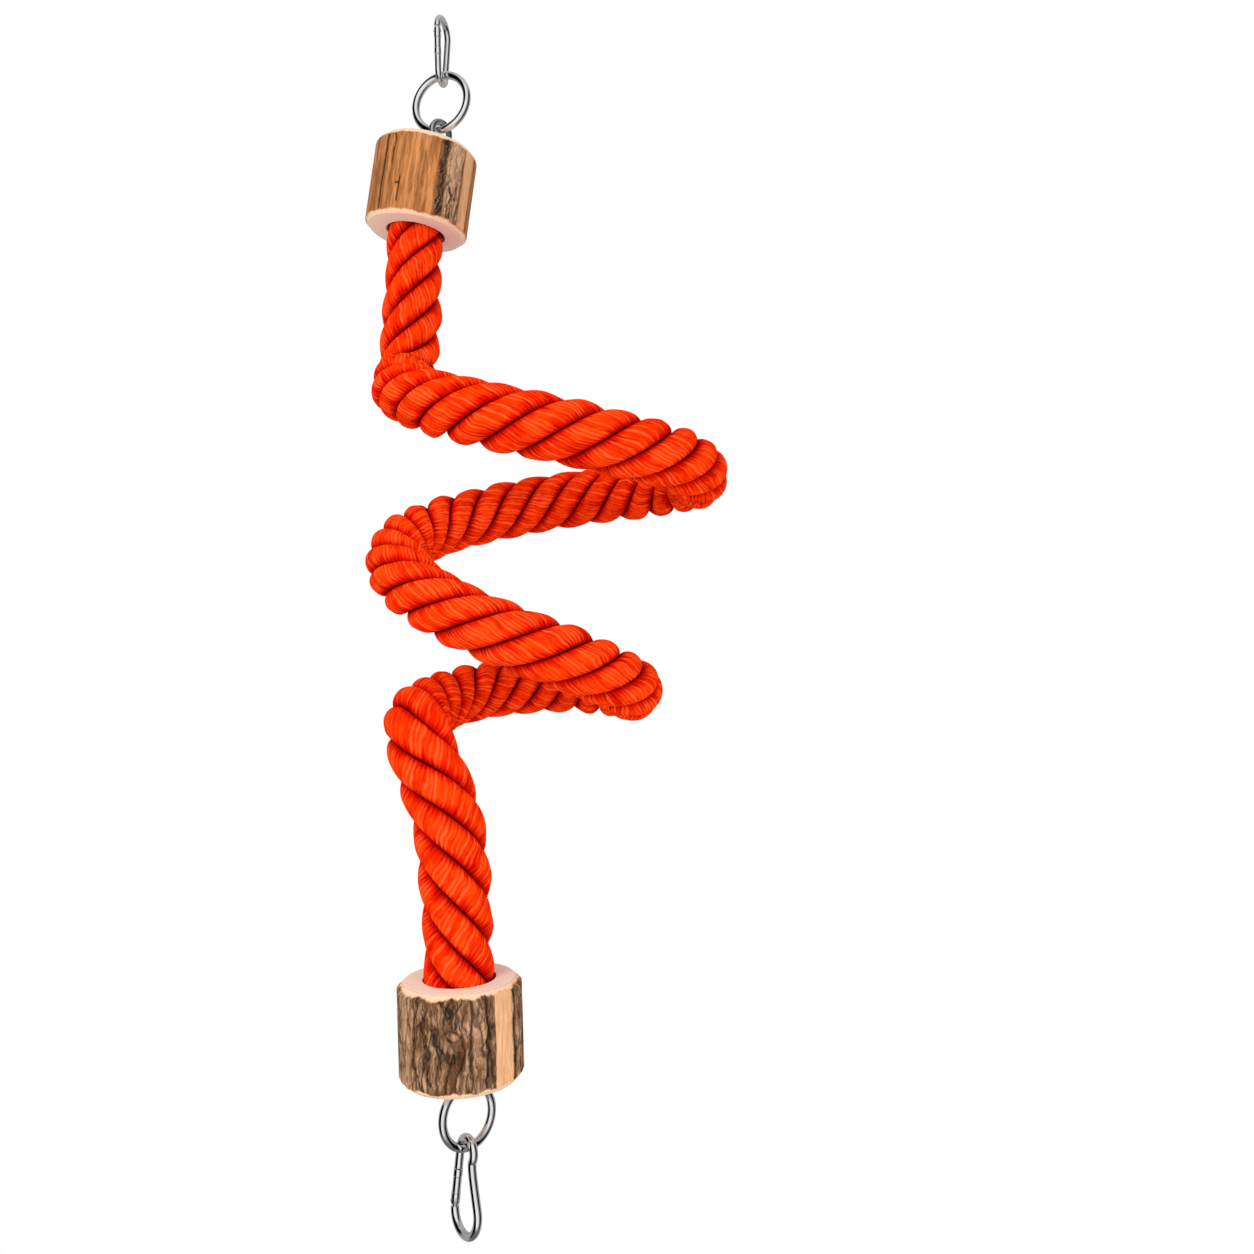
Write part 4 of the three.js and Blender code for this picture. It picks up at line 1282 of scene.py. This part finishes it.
print("angle of the upper block's first column", viewer_angle(upper_frame[:1], upper_mouth).round(1))

# %% Blocks
PITH_SHIFT = np.array([-14.0, 3.0])
BARK_OVER_LOW_EDGE = 0.8
BARK_UNDER_HIGH_EDGE = 0.6
BARK_EDGE = 0.5
CUT_BACK = 0.5


def build_block(size, mouth, directions, pattern, seed):
    """The profile carried round the axis, with the bark's height added to the radius of the side."""
    rows, kinds = block_profile(size)
    grid = np.zeros((len(rows), BLOCK_COLUMNS))
    turn = np.arange(BLOCK_COLUMNS)[None, :] / BLOCK_COLUMNS
    angle = 2 * np.pi * turn
    flat = np.cos(angle)[..., None] * directions[0] + np.sin(angle)[..., None] * directions[1]
    turn = turn + grid
    height = rows[:, 1:2] + grid
    looks, lift = pattern(viewer_angle(flat, mouth) + grid, turn, height)
    ragged = layered_noise(turn, grid, 34, 20, seed) + 0.5 * layered_noise(turn, grid, 110, 20, seed + 5)
    ragged = size["ragged"] * ragged
    low = BLOCK_CHAMFER - BARK_OVER_LOW_EDGE + ragged
    high = size["height"] - BLOCK_CHAMFER - BARK_UNDER_HIGH_EDGE + ragged
    kept = band(height, low, high, BARK_EDGE)
    on_side = np.isin(kinds, ["side", "edge"])[:, None]
    out = np.where((kinds == "side")[:, None], kept * lift - (1 - kept) * CUT_BACK, 0.0)
    reach = rows[:, :1] + out
    points = mouth + height[..., None] * directions[2] + reach[..., None] * flat
    points = points + (rows[:, 2:] + grid)[..., None] * directions[0]
    faces = grid_faces(len(rows), BLOCK_COLUMNS, True)[:, ::-1]
    piece = put_mesh(size["name"] + "_block_wood", points.reshape(-1, 3), faces, wood.material, 50)
    from_pith = reach[..., None] * np.stack([np.cos(angle), np.sin(angle)], -1) - PITH_SHIFT
    numbers = {name: np.where(on_side, looks[name] * kept, 0) for name in ("bark", "fissure", "rough")}
    numbers["tone"] = looks["tone"]
    numbers["fresh"] = np.where(on_side, np.maximum(1 - kept, looks["fresh"]), 0)
    numbers["sawn"] = np.where(on_side, 0.0, 1.0) + grid
    numbers["pith"] = np.linalg.norm(from_pith, axis=-1)
    for name, values in numbers.items():
        put_attribute(piece, name, values)
    layer = piece.data.uv_layers.new(name="round")
    layer.data.foreach_set("uv", round_map(size, rows[:, 1:2]).astype(np.float32))
    return piece


blocks = ((UPPER_BLOCK, upper_mouth, upper_frame, "upper", upper_bark, 61),
          (LOWER_BLOCK, lower_mouth, lower_frame, "lower", lower_bark, 71))
for size, mouth, directions, body, pattern, seed in blocks:
    block = build_block(size, mouth, directions, pattern, seed)
    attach(block, body)
    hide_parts(size["name"] + "_block")

# %% [markdown]
# ## Small parts that keep their solids
# Pins, springs, washers, nuts and nails are already the right shape in the frame. New meshes could
# replace them, but most of them are tiny or hidden, so they only get the same metals as the rest.

# %% Small parts
for name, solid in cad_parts.items():
    if name.endswith(("washer", "nut")):
        metal = nickel
    elif name.endswith(("pin", "spring")):
        metal = drawn_wire
    elif name.endswith("nail"):
        metal = nail_iron
    else:
        continue
    solid.data.materials.clear()
    solid.data.materials.append(metal)
    print(name, "gets", metal.name)

# %% [markdown]
# ## Floor, light and background
# The toy hangs in a bright studio above a pale floor. A large soft lamp from the upper left in front
# gives the form, a weaker one fills the right, and the world lights the rest evenly. More light could
# make the background white, but it would bleach the toy too, so the camera sees the world as plain
# white instead. Polished metal would mirror the lamps and the floor as hard squares. Both are hidden
# from reflections, and the metal sees a room with bright and dark bands.

# %% Floor
FLOOR_HEIGHT = -1600
FLOOR_REACH = 12000
FLOOR_TONES = ((0.82, 0.82, 0.82), (0.86, 0.86, 0.86))
WHITE_NEAR = 0.9
WHITE_FROM = 1.9
WHITE_TO = 2.3

floor_points = np.column_stack([SQUARE * FLOOR_REACH, np.full(4, FLOOR_HEIGHT)])
pale = Finish("pale_floor", Roughness=0.9)
faint = pale.place().noise(pale.place(), 3.0, 2.0)
pale.feed("Base Color", faint.mix(*FLOOR_TONES))
floor = put_mesh("floor", floor_points, [[0, 1, 2, 3]], pale.material)
light_path = pale.start.node("ShaderNodeLightPath").socket.node
seen = Value(pale.tree, light_path.outputs["Is Camera Ray"])
glow = pale.start.node("ShaderNodeEmission", None, {"Color": (1, 1, 1, 1), "Strength": 1.0})
from_middle = pale.start.node("ShaderNodeVectorMath", {"operation": "LENGTH"}, {0: pale.place()}, 1)
white_share = seen * (WHITE_NEAR + from_middle.step(WHITE_FROM, WHITE_TO) * (1 - WHITE_NEAR))
plain = Value(pale.tree, pale.shader.outputs[0])
both = pale.start.node("ShaderNodeMixShader", None, {0: white_share, 1: plain, 2: glow})
pale.tree.links.new(both.socket, pale.tree.nodes["Material Output"].inputs["Surface"])
floor.visible_glossy = False

# %% Lamps
KEY_POWER = 42
FILL_POWER = 21
LAMP_AIM = (0.06, 0, -0.5)


def soft_lamp(name, place, side, power):
    """A square lamp in metres, turned to face the toy and hidden from reflections."""
    data = bpy.data.lights.new(name, "AREA")
    data.shape = "SQUARE"
    data.size = side
    data.energy = power
    lamp = bpy.data.objects.new(name, data)
    lamp.visible_glossy = False
    lamp.location = place
    away = unit(np.array(place) - np.array(LAMP_AIM))
    lamp.rotation_euler = (math.acos(away[2]), 0, math.atan2(away[1], away[0]) + math.pi / 2)
    bpy.context.scene.collection.objects.link(lamp)


soft_lamp("key", (-1.1, -2.1, 0.3), 1.4, KEY_POWER)
soft_lamp("fill", (1.8, -1.6, -0.6), 1.6, FILL_POWER)
print("lamps", KEY_POWER, "and", FILL_POWER, "watts")

# %% World
WORLD_LEVEL = 0.84
ROOM_BANDS = ((-34, 32, 1.0), (32, 62, 0.3))
BAND_EDGE = 5
ROOM_BACK = (94, 112)
BACK_LEVEL = 0.42
BELOW_LEVEL = 0.15
ABOVE_RISE = 0.45
BLACK = (0.0, 0.0, 0.0)
WHITE = (1.0, 1.0, 1.0)

world = bpy.data.worlds.new("studio")
world.use_nodes = True
bpy.context.scene.world = world
air = Value(world.node_tree, None)
path_node = air.node("ShaderNodeLightPath").socket.node
seen = Value(world.node_tree, path_node.outputs["Is Camera Ray"])
mirrored = Value(world.node_tree, path_node.outputs["Is Glossy Ray"])
sky = air.node("ShaderNodeTexCoord").parts()
azimuth = sky[0].math("ARCTAN2", 0 - sky[1]) * (180 / math.pi)
level = azimuth.math("ABSOLUTE").step(*ROOM_BACK) * BACK_LEVEL
for low, high, brightness in ROOM_BANDS:
    after_low = azimuth.step(low - BAND_EDGE, low + BAND_EDGE)
    after_high = azimuth.step(high - BAND_EDGE, high + BAND_EDGE)
    level = level + after_low * (1 - after_high) * brightness
steep = sky[2].math("ABSOLUTE").step(0.6, 0.95)
upward = sky[2].step(-0.3, 0.3) * ABOVE_RISE + BELOW_LEVEL
room = (level * (1 - steep) + upward * steep).mix(BLACK, WHITE)
even = mirrored.mix((WORLD_LEVEL, WORLD_LEVEL, WORLD_LEVEL), room)
background = world.node_tree.nodes["Background"]
world.node_tree.links.new(seen.mix(even, WHITE).socket, background.inputs["Color"])
bpy.context.scene.view_settings.view_transform = "Standard"
print("world level", WORLD_LEVEL, "room bands", len(ROOM_BANDS))
